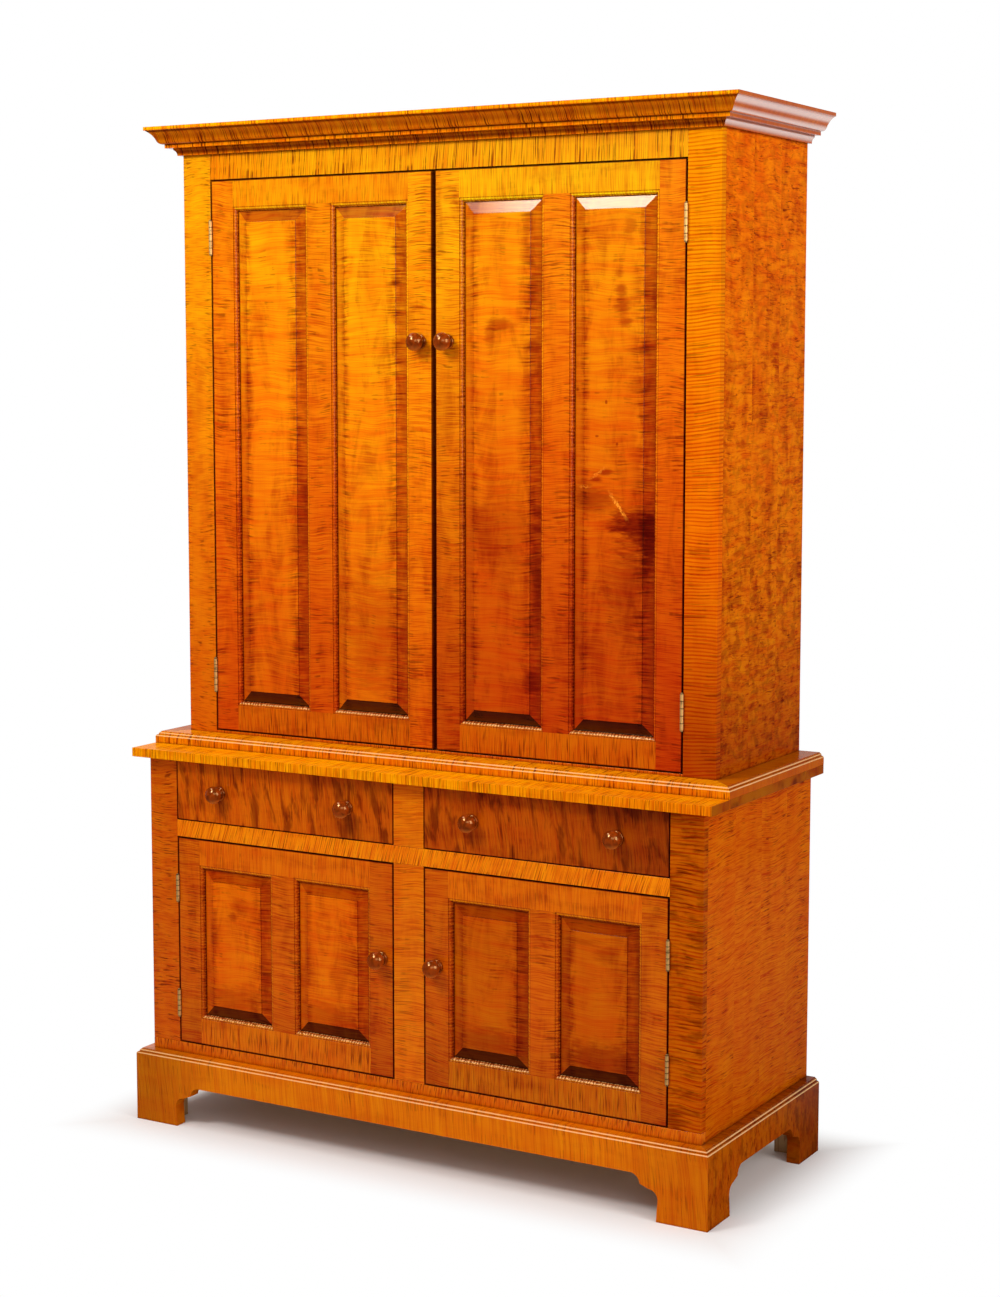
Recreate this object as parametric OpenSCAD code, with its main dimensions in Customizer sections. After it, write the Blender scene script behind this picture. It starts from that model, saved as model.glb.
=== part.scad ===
// Stepback cupboard in two sections. A shallow upper case with two tall
// panelled doors stands on a deeper base with two drawers and two doors.
// Sizes are in millimetres. X runs from left to right, -Y is the front and Z
// is up. The origin is on the floor, in the middle of the width and depth.

/* [Overall sizes] */
// Height from the floor to the top of the cornice
overall_h = 2134; // [2000:1:2260]
// Height of the base with its top
base_h = 817.5; // [795:0.5:850]
// Width of the base case
base_w = 1309; // [1285:1:1400]
// Depth of the base case from its back to its face
base_d = 519; // [495:1:560]
// Width of the upper case
upper_w = 1255; // [1180:1:1280]
// Depth of the upper case from its back to its face
upper_d = 410.5; // [360:0.5:425]

/* [Boards] */
// Thickness of the sides, floors and shelves
case_t = 19; // [17:0.5:22]
// Thickness of the face frames, doors and drawer fronts
frame_t = 20; // [19:0.5:24]
// Thickness of the back boards
back_t = 12; // [9:0.5:16]
// Number of boards across each back
back_count = 7; // [4:1:9]
// Thickness of the top boards of the base
top_t = 19; // [16:0.5:25]
// Overhang of those boards at the front and the ends
top_overhang = 27.5; // [20:0.5:32]
// Thickness of the board that the drawers run on
dust_t = 16; // [12:0.5:20]
// Depth of the grooves that hold floors and shelves
dado = 8; // [5:0.5:10]
// Number of shelves in the upper case
shelf_count = 3; // [1:1:5]

/* [Face frames] */
// Width of the outer stiles of the upper case
upper_stile_w = 70; // [60:1:80]
// Height of the upper case's bottom rail
upper_sill_h = 30; // [28:1:40]
// Height of the upper case's top rail
upper_head_h = 105.5; // [90:0.5:125]
// Depth of the upper case's top below the top of the cornice
cornice_rise = 6; // [2:1:15]
// Width of the outer stiles of the base
base_stile_w = 70; // [60:1:80]
// Width of the stile between the lower doors
centre_stile_w = 71; // [60:1:85]
// Height of the base's bottom rail above the floor of the room
sill_z = 179; // [172:1:190]
// Height of the underside of the base case
plinth_z = 100; // [98:1:110]
// Height of the lower door openings
lower_open_h = 451; // [430:1:460]
// Height of the rail under the drawers
mid_rail_h = 36; // [30:1:45]
// Length of the tenons
tenon_l = 28; // [20:1:34]
// Thickness of the tenons
tenon_t = 8; // [6:0.5:9]
// Set-back of a tenon from the edges of its rail
tenon_shoulder = 5; // [4:0.5:8]

/* [Doors] */
// Gap beside a door on its hinges
hinge_gap = 3.5; // [3:0.1:4]
// Gap above and below a door, and at a lower door's free edge
door_gap = 3; // [2:0.1:4]
// Gap between the two upper doors
meeting_gap = 10; // [4:0.5:12]
// Distance of that gap's middle from the middle of the case
meeting_shift = -4; // [-8:0.5:8]
// Flat width of the door stiles
door_stile_w = 55; // [50:0.5:65]
// Flat height of the door rails
door_rail_h = 55; // [50:0.5:65]
// Flat width of an upper door's muntin
upper_muntin_w = 57; // [45:0.5:65]
// Flat width of a lower door's muntin
lower_muntin_w = 55; // [45:0.5:65]
// Width of the moulding round each panel
stick_w = 8; // [7.5:0.1:9]
// Width of the flat beside the moulding's round
stick_flat = 1.5; // [1:0.1:2.5]
// Depth of that flat below the face
stick_step = 1.2; // [0.8:0.1:1.8]
// Radius of the moulding's round
stick_r = 4.5; // [4:0.1:5]
// Depth of the panel groove below the face
groove_y = 9.4; // [8.5:0.1:10]
// Width of the panel groove
groove_t = 6.2; // [5:0.1:7]
// Depth of the panel groove into the frame
groove_d = 10; // [9:0.5:12]
// Room left at each edge of a panel
float_gap = 1; // [0.5:0.1:2]
// Depth of a panel's field below the face
field_recess = 2.3; // [1.5:0.1:3.5]
// Height of the step round the field
field_step = 1.5; // [0.8:0.1:2.2]
// Width of the bevel round the field
bevel_w = 24; // [16:0.5:30]

/* [Drawers] */
// Gap round a drawer front
drawer_gap = 2; // [1.5:0.1:3]
// Length of a drawer from its face to its back
drawer_l = 470; // [400:1:475]
// Thickness of the drawer sides and backs
drawer_side_t = 12; // [10:0.5:14]
// Drop of the drawer sides below the top of the front
drawer_drop = 6; // [3:0.5:10]
// Thickness of the drawer bottoms
drawer_bottom_t = 6; // [5:0.5:8]
// Height of the drawer bottoms above the lower edges
bottom_rise = 8; // [6:0.5:12]
// Depth of the drawer's grooves
drawer_dado = 5; // [4:0.5:6]
// Distance of a drawer's back from the end of its sides
drawer_tail = 18; // [5:1:40]
// Number of dovetails at each corner
tail_count = 3; // [2:1:4]
// Thickness of wood in front of the dovetails
tail_lap = 5; // [4:0.5:7]
// Widening of each side of a dovetail
tail_flare = 2.1; // [1:0.1:3]
// Width of the thinnest part of the pins between dovetails
pin_w = 9; // [6:0.5:12]
// Space beside a running drawer
guide_gap = 0.5; // [0.3:0.1:1]
// Space under a running drawer
run_gap = 0.3; // [0.2:0.1:0.5]
// Height of the blocks that guide the drawers
guide_h = 40; // [25:1:60]

/* [Knobs] */
// Radius of the head of a knob
knob_r = 18.5; // [16:0.5:20]
// Thickness of the head from front to back
knob_head_t = 31; // [28:0.5:33]
// Radius of the tight curve round the rim of the head
knob_rim_r = 12; // [10:0.5:13]
// Reach of a knob from the face that it stands on
knob_reach = 38; // [37:0.5:44]
// Radius of the foot of a knob
knob_foot_r = 15; // [12:0.5:17]
// Thickness of the foot of a knob
knob_foot_t = 5; // [3:0.5:6]
// Radius of the neck of a knob
knob_neck_r = 9; // [7:0.5:10]
// Radius of the peg of a knob
peg_r = 6; // [4:0.5:6.5]
// Length of the peg of a knob
peg_l = 16; // [12:0.5:17]
// Height of the upper door knobs above the floor
upper_knob_z = 1680; // [1500:1:1800]
// Height of the lower door knobs above the floor
lower_knob_z = 428; // [300:1:500]
// Distance between the two knobs of a drawer
drawer_knob_span = 322; // [250:1:380]

/* [Hinges] */
// Length of an upper door's hinges
upper_hinge_l = 72; // [50:1:90]
// Length of a lower door's hinges
lower_hinge_l = 58; // [40:1:70]
// Distance of an upper hinge's middle from the end of its door
upper_hinge_inset = 118; // [70:1:200]
// Distance of a lower door's top hinge from the top of the door
lower_hinge_drop = 109.5; // [60:0.5:150]
// Distance of the left door's bottom hinge from the bottom of the door
lower_left_hinge_rise = 84; // [60:1:150]
// Distance of the right door's bottom hinge from the bottom of the door
lower_right_hinge_rise = 112; // [60:1:150]
// Number of knuckles
knuckle_count = 5; // [3:2:7]
// Radius of the knuckles
knuckle_r = 3.4; // [3:0.05:3.5]
// Radius of the pins
pin_r = 1.5; // [1:0.1:1.8]
// Room between a pin and the knuckles that turn on it
pin_play = 0.05; // [0.02:0.01:0.1]
// Distance of the pins in front of the face
pin_out = 3.3; // [3.3:0.1:4]
// Thickness of the hinge leaves
leaf_t = 2; // [1.6:0.1:2.2]
// Depth of the leaves in the wood
leaf_let = 0.6; // [0.5:0.05:0.7]
// Depth of the leaves behind the face
leaf_d = 18.5; // [14:0.5:18.5]
// Radius of the heads of the pins
pin_head_r = 2.3; // [2:0.1:3]
// Height of the heads of the pins
pin_head_h = 1.6; // [1:0.1:2.5]

/* [Mouldings] */
// Radius of the two beads along a moulded edge
bead_r = 4; // [3:0.25:4.5]
// Width of the ledge between the beads
bead_ledge = 1; // [0.5:0.1:2]
// Height of the step above each bead
bead_step = 1.5; // [0.8:0.1:2]
// Height of the moulding at the foot of the upper case
waist_h = 24.5; // [20:0.5:27]
// Least reach of that moulding from the upper case
waist_least = 54.5; // [30:0.5:60]
// Reach of the cornice from the upper case
cornice_reach = 60; // [58:0.5:70]
// Height of the flat band at the top of the cornice
cornice_band = 7.5; // [5:0.5:12]
// Height of the curve below that band
curve_h = 28; // [26:0.5:30]
// Reach of the cornice's round
ovolo_reach = 30; // [29:0.5:34]
// Radius of the cornice's round
ovolo_r = 11; // [9:0.5:12]
// Radius of the hollow above the round
hollow_r = 40; // [36:1:46]
// Slope of the curve where the hollow meets the round, in degrees
curve_tilt = 20; // [16:1:24]
// Reach of the narrow band under the round
fillet_reach = 28; // [24:0.5:29]
// Height of the narrow band under the round
fillet_h = 8; // [5:0.5:10]
// Reach of the bed moulding at its top
bed_reach = 15; // [13:0.5:17]
// Reach of the bed moulding at its foot
bed_foot = 9; // [7:0.5:11]
// Radius of the bed moulding's hollow
bed_r = 12; // [11.5:0.5:13]
// Height of the bed moulding
bed_h = 15; // [15:0.5:18]
// Height of the narrow flat at its foot
bed_flat = 1.5; // [1:0.5:2]

/* [Bracket base] */
// Height of the bracket base
bracket_h = 156.5; // [148:0.5:168]
// Thickness of the bracket boards
bracket_t = 28; // [20:0.5:34]
// Width of the front feet, seen from the front
front_foot_w = 105.5; // [90:0.5:130]
// Width of the feet, seen from the side
side_foot_w = 99; // [85:0.5:115]
// Height of the arches
arch_h = 89.5; // [85:0.5:94]
// Height of the straight part of a foot
foot_h = 43; // [35:0.5:48]
// Radius of the scroll's lower hollow
lower_scroll_r = 20; // [15:0.5:22]
// Radius of the scroll's upper hollow
upper_scroll_r = 21.5; // [16:0.5:24]
// Distance of the scroll's point from the foot
scroll_point = 38.5; // [34:0.5:44]
// Widening of a foot towards the floor
foot_flare = 3; // [0:0.5:6]
// Width of the blocks inside the feet
block_w = 50; // [35:1:60]

/* [Hidden] */
$fn = 64;
// Clearance round tongues, tenons, pegs, boards in their grooves and at the joint of the top
fit_gap = 0.1;
// Overlap of a cutting shape past the surface that it cuts
eps = 1;
// End clearance of each hinge knuckle
knuckle_play = 0.15;
// Lap between neighbouring back boards
back_lap = 6;
// Gap between neighbouring back boards
back_gap = 1;
// Gap between the shelves and the closed doors
shelf_gap = 1;
// Distance of the guides past the edge of the drawer opening
guide_out = drawer_gap - guide_gap;
// Distance of a leaf's flat part behind the knuckles
leaf_set = 0.5;
// Height of the point of a scroll above the middle of its upper hollow
point_rise = 2;

// The top reaches past the base case, and its ends are flush with the waist moulding
top_half_w = max(base_w / 2 + top_overhang, upper_w / 2 + waist_least);
waist_reach = top_half_w - upper_w / 2;

// Front-to-back places
y_rear = (base_d + max(knob_reach, top_overhang, bracket_t)) / 2;
y_base = y_rear - base_d;
y_upper = y_rear - upper_d;

// Heights
top_z = base_h - top_t;
lower_head_z = sill_z + lower_open_h;
drawer_z = lower_head_z + mid_rail_h;
dust_top_z = drawer_z + drawer_gap - run_gap;
upper_sill_z = base_h + upper_sill_h;
upper_top_z = overall_h - cornice_rise;
upper_head_z = upper_top_z - upper_head_h;

// Openings and the pieces in them
base_edge_x = base_w / 2 - base_stile_w;
upper_edge_x = upper_w / 2 - upper_stile_w;
drawer_w = base_edge_x - centre_stile_w / 2 - 2 * drawer_gap;
drawer_h = top_z - drawer_z - 2 * drawer_gap;
drawer_side_h = drawer_h - drawer_drop;
lower_door_w = base_edge_x - centre_stile_w / 2 - hinge_gap - door_gap;
lower_door_h = lower_open_h - 2 * door_gap;
upper_door_h = upper_head_z - upper_sill_z - 2 * door_gap;

// Cornice heights, measured up from its foot
fillet_z = bed_h;
ovolo_z = fillet_z + fillet_h;
cornice_h = ovolo_z + curve_h + cornice_band;
cornice_z = overall_h - cornice_h;

// Hinge leaf places, measured from the pin
leaf_near = hinge_gap / 2 + leaf_let - leaf_t;
leaf_front = knuckle_r + leaf_set;
leaf_back = pin_out + leaf_d;

// Tenons lie in the middle of the frame's thickness
tenon_y = (frame_t - tenon_t) / 2;

maple = [0.80, 0.42, 0.08];
maple_dark = [0.62, 0.27, 0.05];
board_wood = [0.80, 0.66, 0.44];
knob_wood = [0.38, 0.14, 0.06];
brass = [0.78, 0.64, 0.34];

// A door is [width, height, muntin width, hinge length, hinge heights, knob height]
function upper_door(side) = [
    upper_edge_x - hinge_gap - meeting_gap / 2 - side * meeting_shift,
    upper_door_h,
    upper_muntin_w,
    upper_hinge_l,
    [upper_hinge_inset, upper_door_h - upper_hinge_inset],
    upper_knob_z - upper_sill_z - door_gap
];
function lower_door(side) = [
    lower_door_w,
    lower_door_h,
    lower_muntin_w,
    lower_hinge_l,
    [side < 0 ? lower_left_hinge_rise : lower_right_hinge_rise, lower_door_h - lower_hinge_drop],
    lower_knob_z - sill_z - door_gap
];
function pane_w(door) = (door[0] - 2 * door_stile_w - door[2]) / 2;
function pane_h(door) = door[1] - 2 * door_rail_h;
function pane_x(door, i) = door_stile_w + i * (pane_w(door) + door[2]);

// Swaps X and Z, so that what stands up runs across
module across() {
    mirror([1, 0, -1]) children();
}

// Draws the children as they are on the left, mirrored on the right
module on_side(side) {
    if (side < 0) children();
    else mirror([1, 0, 0]) children();
}

// A board from one corner to the opposite one
module board(low, high) {
    translate(low) cube(high - low);
}

// Places a door's own frame, whose X starts at its hinge edge and whose Y
// starts at its face
module hang_upper(side) {
    on_side(side) translate([hinge_gap - upper_edge_x, y_upper, upper_sill_z + door_gap]) children();
}

module hang_lower(side) {
    on_side(side) translate([hinge_gap - base_edge_x, y_base, sill_z + door_gap]) children();
}

module place_drawer(side) {
    x = side < 0 ? drawer_gap - base_edge_x : centre_stile_w / 2 + drawer_gap;
    translate([x, y_base, drawer_z + drawer_gap]) children();
}

// Section of the moulding round a panel, from the flat of the frame inwards
module stick_section() {
    square_y = stick_step + stick_r;
    translate([0, stick_step]) square([stick_flat, frame_t - stick_step]);
    translate([0, square_y]) square([stick_w, frame_t - square_y]);
    intersection() {
        translate([stick_flat, square_y]) circle(stick_r);
        translate([0, stick_step]) square([stick_w, square_y]);
    }
}

// Upright run of that moulding, mitred at both ends
module sticking(length) {
    intersection() {
        linear_extrude(length) stick_section();
        translate([0, frame_t + eps, 0]) rotate([90, 0, 0]) linear_extrude(frame_t + 2 * eps)
            polygon([[0, 0], [stick_w, stick_w], [stick_w, length - stick_w], [0, length]]);
    }
}

// Tenon that points along X, centred on z = 0
module tenon(length, width, gap = 0) {
    translate([0, tenon_y - gap, -width / 2 - gap]) cube([length + gap, tenon_t + 2 * gap, width + 2 * gap]);
}

module door_pane_grooves(door) {
    in = stick_w - groove_d;
    for (i = [0, 1])
        translate([pane_x(door, i) + in, groove_y, door_rail_h + in])
            cube([pane_w(door) - 2 * in, groove_t, pane_h(door) - 2 * in]);
}

// Tenons of the rails, one rail height up from each end of the door
module door_rail_tenons(door, gap = 0) {
    for (z = [door_rail_h / 2, door[1] - door_rail_h / 2])
        translate([0, 0, z]) {
            translate([door_stile_w - tenon_l - gap, 0, 0])
                tenon(tenon_l + gap, door_rail_h - 2 * tenon_shoulder, gap);
            translate([door[0] - door_stile_w - gap, 0, 0])
                tenon(tenon_l + gap, door_rail_h - 2 * tenon_shoulder, gap);
        }
}

// Stub tenons of the muntin
module door_muntin_tenons(door, gap = 0) {
    stub = tenon_l / 2;
    for (z = [door_rail_h - stub, door[1] - door_rail_h])
        translate([pane_x(door, 1) - door[2] / 2, 0, z - gap])
            across() tenon(stub + gap, door[2] - 2 * tenon_shoulder, gap);
}

module knob_hole(x, z) {
    translate([x, peg_l + fit_gap, z]) rotate([90, 0, 0])
        cylinder(r = peg_r + fit_gap / 2, h = peg_l + fit_gap + eps);
}

module leaf_recess(length, z) {
    translate([-eps, -eps, z - length / 2 - fit_gap])
        cube([eps + leaf_let, eps + leaf_d + fit_gap, length + 2 * fit_gap]);
}

module door_stiles(door) {
    difference() {
        union() {
            cube([door_stile_w, frame_t, door[1]]);
            translate([door[0] - door_stile_w, 0, 0]) cube([door_stile_w, frame_t, door[1]]);
            translate([pane_x(door, 1) - door[2], 0, door_rail_h]) cube([door[2], frame_t, pane_h(door)]);
            door_muntin_tenons(door);
            for (i = [0, 1])
                translate([pane_x(door, i), 0, door_rail_h]) {
                    sticking(pane_h(door));
                    translate([pane_w(door), 0, 0]) mirror([1, 0, 0]) sticking(pane_h(door));
                }
        }
        door_pane_grooves(door);
        door_rail_tenons(door, fit_gap);
        for (z = door[4]) leaf_recess(door[3], z);
        knob_hole(door[0] - door_stile_w / 2, door[5]);
    }
}

module door_rails(door) {
    rail_w = door[0] - 2 * door_stile_w;
    difference() {
        union() {
            for (z = [0, door[1] - door_rail_h])
                translate([door_stile_w, 0, z]) cube([rail_w, frame_t, door_rail_h]);
            door_rail_tenons(door);
            for (i = [0, 1])
                translate([pane_x(door, i), 0, door_rail_h]) {
                    across() sticking(pane_w(door));
                    translate([0, 0, pane_h(door)]) mirror([0, 0, 1]) across() sticking(pane_w(door));
                }
        }
        door_pane_grooves(door);
        door_muntin_tenons(door, fit_gap);
    }
}

// Bevelled slab that is w wide and stands h high
module bevel(w, h) {
    back_y = groove_y + fit_gap;
    front_y = field_recess + field_step;
    linear_extrude(h) polygon([[0, back_y], [bevel_w, front_y], [w - bevel_w, front_y], [w, back_y]]);
}

module raised_panel(w, h) {
    lip = groove_d - float_gap;
    back_y = groove_y + groove_t - fit_gap;
    board([-lip, groove_y + fit_gap, -lip], [w + lip, back_y, h + lip]);
    board([bevel_w, field_recess, bevel_w], [w - bevel_w, back_y, h - bevel_w]);
    intersection() {
        bevel(w, h);
        across() bevel(h, w);
    }
}

module door_panels(door) {
    for (i = [0, 1])
        translate([pane_x(door, i) + stick_w, 0, door_rail_h + stick_w])
            raised_panel(pane_w(door) - 2 * stick_w, pane_h(door) - 2 * stick_w);
}

// Half section of the head of a knob: two shallow domes and a round rim
module knob_head() {
    half_t = knob_head_t / 2;
    rim_x = knob_r - knob_rim_r;
    dome_r = (pow(rim_x, 2) / (half_t - knob_rim_r) + half_t + knob_rim_r) / 2;
    translate([rim_x, 0]) circle(knob_rim_r);
    intersection() {
        translate([0, half_t - dome_r]) circle(dome_r);
        translate([0, dome_r - half_t]) circle(dome_r);
        translate([0, -half_t]) square([rim_x * dome_r / (dome_r - knob_rim_r), knob_head_t]);
    }
}

// Half section of the foot and neck of a knob
module knob_foot() {
    cove_r = knob_foot_r - knob_foot_t / 2 - knob_neck_r;
    square([knob_foot_r - knob_foot_t / 2, knob_foot_t]);
    translate([knob_foot_r - knob_foot_t / 2, knob_foot_t / 2]) circle(knob_foot_t / 2);
    square([knob_neck_r, knob_reach - knob_head_t / 2]);
    difference() {
        square([knob_neck_r + cove_r, knob_foot_t + cove_r]);
        translate([knob_neck_r + cove_r, knob_foot_t + cove_r]) circle(cove_r);
    }
}

// Turned knob with its foot on the plane y = 0
module knob() {
    rotate([90, 0, 0]) rotate_extrude() intersection() {
        union() {
            translate([0, knob_reach - knob_head_t / 2]) knob_head();
            knob_foot();
            translate([0, -peg_l]) square([peg_r, peg_l]);
        }
        translate([0, -peg_l]) square([knob_r, peg_l + knob_reach]);
    }
}

module door_knob(door) {
    translate([door[0] - door_stile_w / 2, 0, door[5]]) knob();
}

// Hinge leaf with its pin axis on Z and its wood towards +X
module leaf(length, first) {
    pitch = length / knuckle_count;
    bore_r = first == 0 ? pin_r : pin_r + pin_play;
    difference() {
        union() {
            translate([leaf_near, leaf_front, 0]) cube([leaf_t, leaf_back - leaf_front, length]);
            for (k = [first : 2 : knuckle_count - 1])
                translate([0, 0, k * pitch + knuckle_play]) {
                    cylinder(r = knuckle_r, h = pitch - 2 * knuckle_play);
                    translate([leaf_near, 0, 0]) cube([leaf_t, leaf_front, pitch - 2 * knuckle_play]);
                }
        }
        translate([0, 0, -eps]) cylinder(r = bore_r, h = length + 2 * eps);
    }
}

// Draws the children on each pin axis of a door
module at_hinges(door) {
    for (z = door[4])
        translate([-hinge_gap / 2, -pin_out, z - door[3] / 2]) children();
}

module door_leaves(door) {
    at_hinges(door) leaf(door[3], 1);
}

module frame_leaves(door) {
    at_hinges(door) mirror([1, 0, 0]) leaf(door[3], 0);
}

module door_pins(door) {
    at_hinges(door) {
        cylinder(r = pin_r, h = door[3]);
        for (z = [-pin_head_h, door[3]]) translate([0, 0, z]) cylinder(r = pin_head_r, h = pin_head_h);
    }
}

// Recesses for the frame's leaves, beside an opening whose edge is at X = 0
module frame_leaf_recesses(door) {
    for (z = door[4]) mirror([1, 0, 0]) leaf_recess(door[3], z);
}

// Dovetails at the front end of a drawer side, widest at the front
module tails(gap = 0) {
    pitch = drawer_side_h / tail_count;
    half_tip = (pitch - pin_w) / 2 + gap;
    half_root = half_tip - tail_flare;
    for (k = [0 : tail_count - 1])
        translate([0, 0, (k + 0.5) * pitch]) rotate([90, 0, 90]) linear_extrude(drawer_side_t + gap)
            polygon([
                [tail_lap - gap, -half_tip],
                [frame_t, -half_root],
                [frame_t, half_root],
                [tail_lap - gap, half_tip]
            ]);
}

module drawer_bottom_groove() {
    in = drawer_side_t - drawer_dado;
    translate([in, frame_t - drawer_dado, bottom_rise])
        cube([drawer_w - 2 * in, drawer_l, drawer_bottom_t + 2 * fit_gap]);
}

module drawer_front() {
    difference() {
        cube([drawer_w, frame_t, drawer_h]);
        translate([-fit_gap, 0, 0]) tails(fit_gap);
        translate([drawer_w + fit_gap, 0, 0]) mirror([1, 0, 0]) tails(fit_gap);
        drawer_bottom_groove();
        for (s = [-1, 1]) knob_hole((drawer_w + s * drawer_knob_span) / 2, drawer_h / 2);
    }
}

// Left side of a drawer, dovetailed at the front and grooved for the back
module drawer_side() {
    tails();
    board([0, frame_t, 0], [drawer_side_t, drawer_l, drawer_side_h]);
}

module drawer_back_board(gap = 0) {
    in = drawer_side_t - drawer_dado;
    y = drawer_l - drawer_tail;
    low_z = bottom_rise + drawer_bottom_t + 2 * fit_gap;
    board(
        [in + fit_gap - gap, y - drawer_side_t - gap, low_z],
        [drawer_w - in - fit_gap + gap, y + gap, drawer_side_h - drawer_drop]
    );
}

module drawer_sides() {
    difference() {
        union() {
            drawer_side();
            translate([drawer_w, 0, 0]) mirror([1, 0, 0]) drawer_side();
        }
        drawer_bottom_groove();
        drawer_back_board(fit_gap);
    }
}

module drawer_bottom() {
    in = drawer_side_t - drawer_dado + float_gap / 2;
    board(
        [in, frame_t - drawer_dado + float_gap / 2, bottom_rise + fit_gap],
        [drawer_w - in, drawer_l, bottom_rise + fit_gap + drawer_bottom_t]
    );
}

module drawer_knobs() {
    for (s = [-1, 1]) translate([(drawer_w + s * drawer_knob_span) / 2, 0, drawer_h / 2]) knob();
}

// Back boards between two heights, half_w to each side. The right edge of
// each laps behind the next.
module back_boards(half_w, low_z, high_z) {
    pitch = 2 * half_w / back_count;
    mid_y = y_rear - back_t / 2;
    for (k = [0 : back_count - 1]) {
        x = k * pitch - half_w;
        gap = k > 0 ? back_gap : 0;
        lap = k > 0 ? back_lap : 0;
        board([x + gap, y_rear - back_t, low_z], [x + pitch, mid_y, high_z]);
        board([x + gap + lap, mid_y, low_z], [x + pitch, y_rear, high_z]);
        if (k < back_count - 1)
            board([x + pitch - eps, mid_y + fit_gap, low_z], [x + pitch + back_lap, y_rear, high_z]);
    }
}

// Left side of a case, with a rabbet for the back and grooves for the boards
// whose lower faces and thicknesses are listed
module case_side(half_w, y_front, low_z, high_z, boards) {
    inner = -half_w + case_t;
    difference() {
        board([-half_w, y_front, low_z], [inner, y_rear, high_z]);
        board([inner - dado, y_rear - back_t, low_z - eps], [inner + eps, y_rear + eps, high_z + eps]);
        for (b = boards)
            board(
                [inner - dado, y_front - eps, b[0] - fit_gap],
                [inner + eps, y_rear + eps, b[0] + b[1] + fit_gap]
            );
    }
}

// Board that is held in the grooves of both sides
module cross_board(half_w, y_front, low_z, thick) {
    reach = half_w - case_t + dado - fit_gap;
    board([-reach, y_front, low_z], [reach, y_rear - back_t, low_z + thick]);
}

function base_boards() = [[sill_z - case_t, case_t], [dust_top_z - dust_t, dust_t]];
function shelf_z(k) = let (
    clear = (upper_top_z - case_t - upper_sill_z - shelf_count * case_t) / (shelf_count + 1)
) upper_sill_z + (k + 1) * clear + k * case_t;
function upper_boards() = concat(
    [[upper_sill_z - case_t, case_t], [upper_top_z - case_t, case_t]],
    [for (k = [0 : shelf_count - 1]) [shelf_z(k), case_t]]
);

module base_side(side) {
    on_side(side) case_side(base_w / 2, y_base + frame_t, plinth_z, top_z, base_boards());
}

module upper_side(side) {
    on_side(side) case_side(upper_w / 2, y_upper + frame_t, base_h, upper_top_z, upper_boards());
}

// Tenons that stand out on both ends of a rail between x = -half_w and half_w
module rail_tenons(half_w, mid_z, width, gap = 0) {
    for (s = [0, 1]) mirror([s, 0, 0])
        translate([half_w - gap, 0, mid_z]) tenon(tenon_l + gap, width, gap);
}

module upper_head_tenons(gap = 0) {
    rail_tenons(upper_edge_x, upper_top_z - upper_head_h / 2, upper_head_h - 2 * tenon_shoulder, gap);
}

module upper_sill_tenons(gap = 0) {
    rail_tenons(upper_edge_x, base_h + upper_sill_h / 2, upper_sill_h - 2 * tenon_shoulder, gap);
}

module mid_rail_tenons(gap = 0) {
    rail_tenons(base_edge_x, lower_head_z + mid_rail_h / 2, mid_rail_h - 2 * tenon_shoulder, gap);
}

// Tenons at the feet of the base's outer stiles
module stile_foot_tenons(gap = 0) {
    for (s = [-1, 1])
        translate([s * (base_edge_x + base_stile_w / 2), 0, sill_z - tenon_l - gap])
            across() tenon(tenon_l + gap, base_stile_w - 2 * tenon_shoulder, gap);
}

// Stub tenons at the ends of the centre stiles
module centre_tenons(gap = 0) {
    stub = mid_rail_h / 3;
    width = centre_stile_w - 2 * tenon_shoulder;
    for (z = [sill_z - stub - gap, lower_head_z, drawer_z - stub - gap])
        translate([0, 0, z]) across() tenon(stub + gap, width, gap);
}

module base_stile(side) {
    translate([0, y_base, 0]) {
        difference() {
            on_side(side) translate([-base_w / 2, 0, sill_z]) cube([base_stile_w, frame_t, top_z - sill_z]);
            mid_rail_tenons(fit_gap);
            on_side(side) translate([-base_edge_x, 0, sill_z + door_gap])
                frame_leaf_recesses(lower_door(side));
        }
        intersection() {
            stile_foot_tenons();
            on_side(side) board([-base_w / 2, 0, 0], [0, frame_t, sill_z]);
        }
    }
}

module upper_stile(side) {
    translate([0, y_upper, 0]) difference() {
        on_side(side) translate([-upper_w / 2, 0, base_h])
            cube([upper_stile_w, frame_t, upper_top_z - base_h]);
        upper_head_tenons(fit_gap);
        upper_sill_tenons(fit_gap);
        on_side(side) translate([-upper_edge_x, 0, upper_sill_z + door_gap])
            frame_leaf_recesses(upper_door(side));
    }
}

// Section of a moulded edge: an upright face, two stepped beads and a flat top
module moulded_edge(reach, height) {
    outer_x = reach - bead_r;
    inner_x = outer_x - bead_ledge - bead_r;
    outer_z = height - 2 * bead_r - 2 * bead_step;
    inner_z = outer_z + bead_r + bead_step;
    square([reach, outer_z]);
    square([outer_x, outer_z + bead_r]);
    translate([outer_x, outer_z]) circle(bead_r);
    square([inner_x + bead_r, inner_z]);
    square([inner_x, height]);
    intersection() {
        translate([inner_x, inner_z]) circle(bead_r);
        translate([0, outer_z]) square([reach, height]);
    }
}

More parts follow.
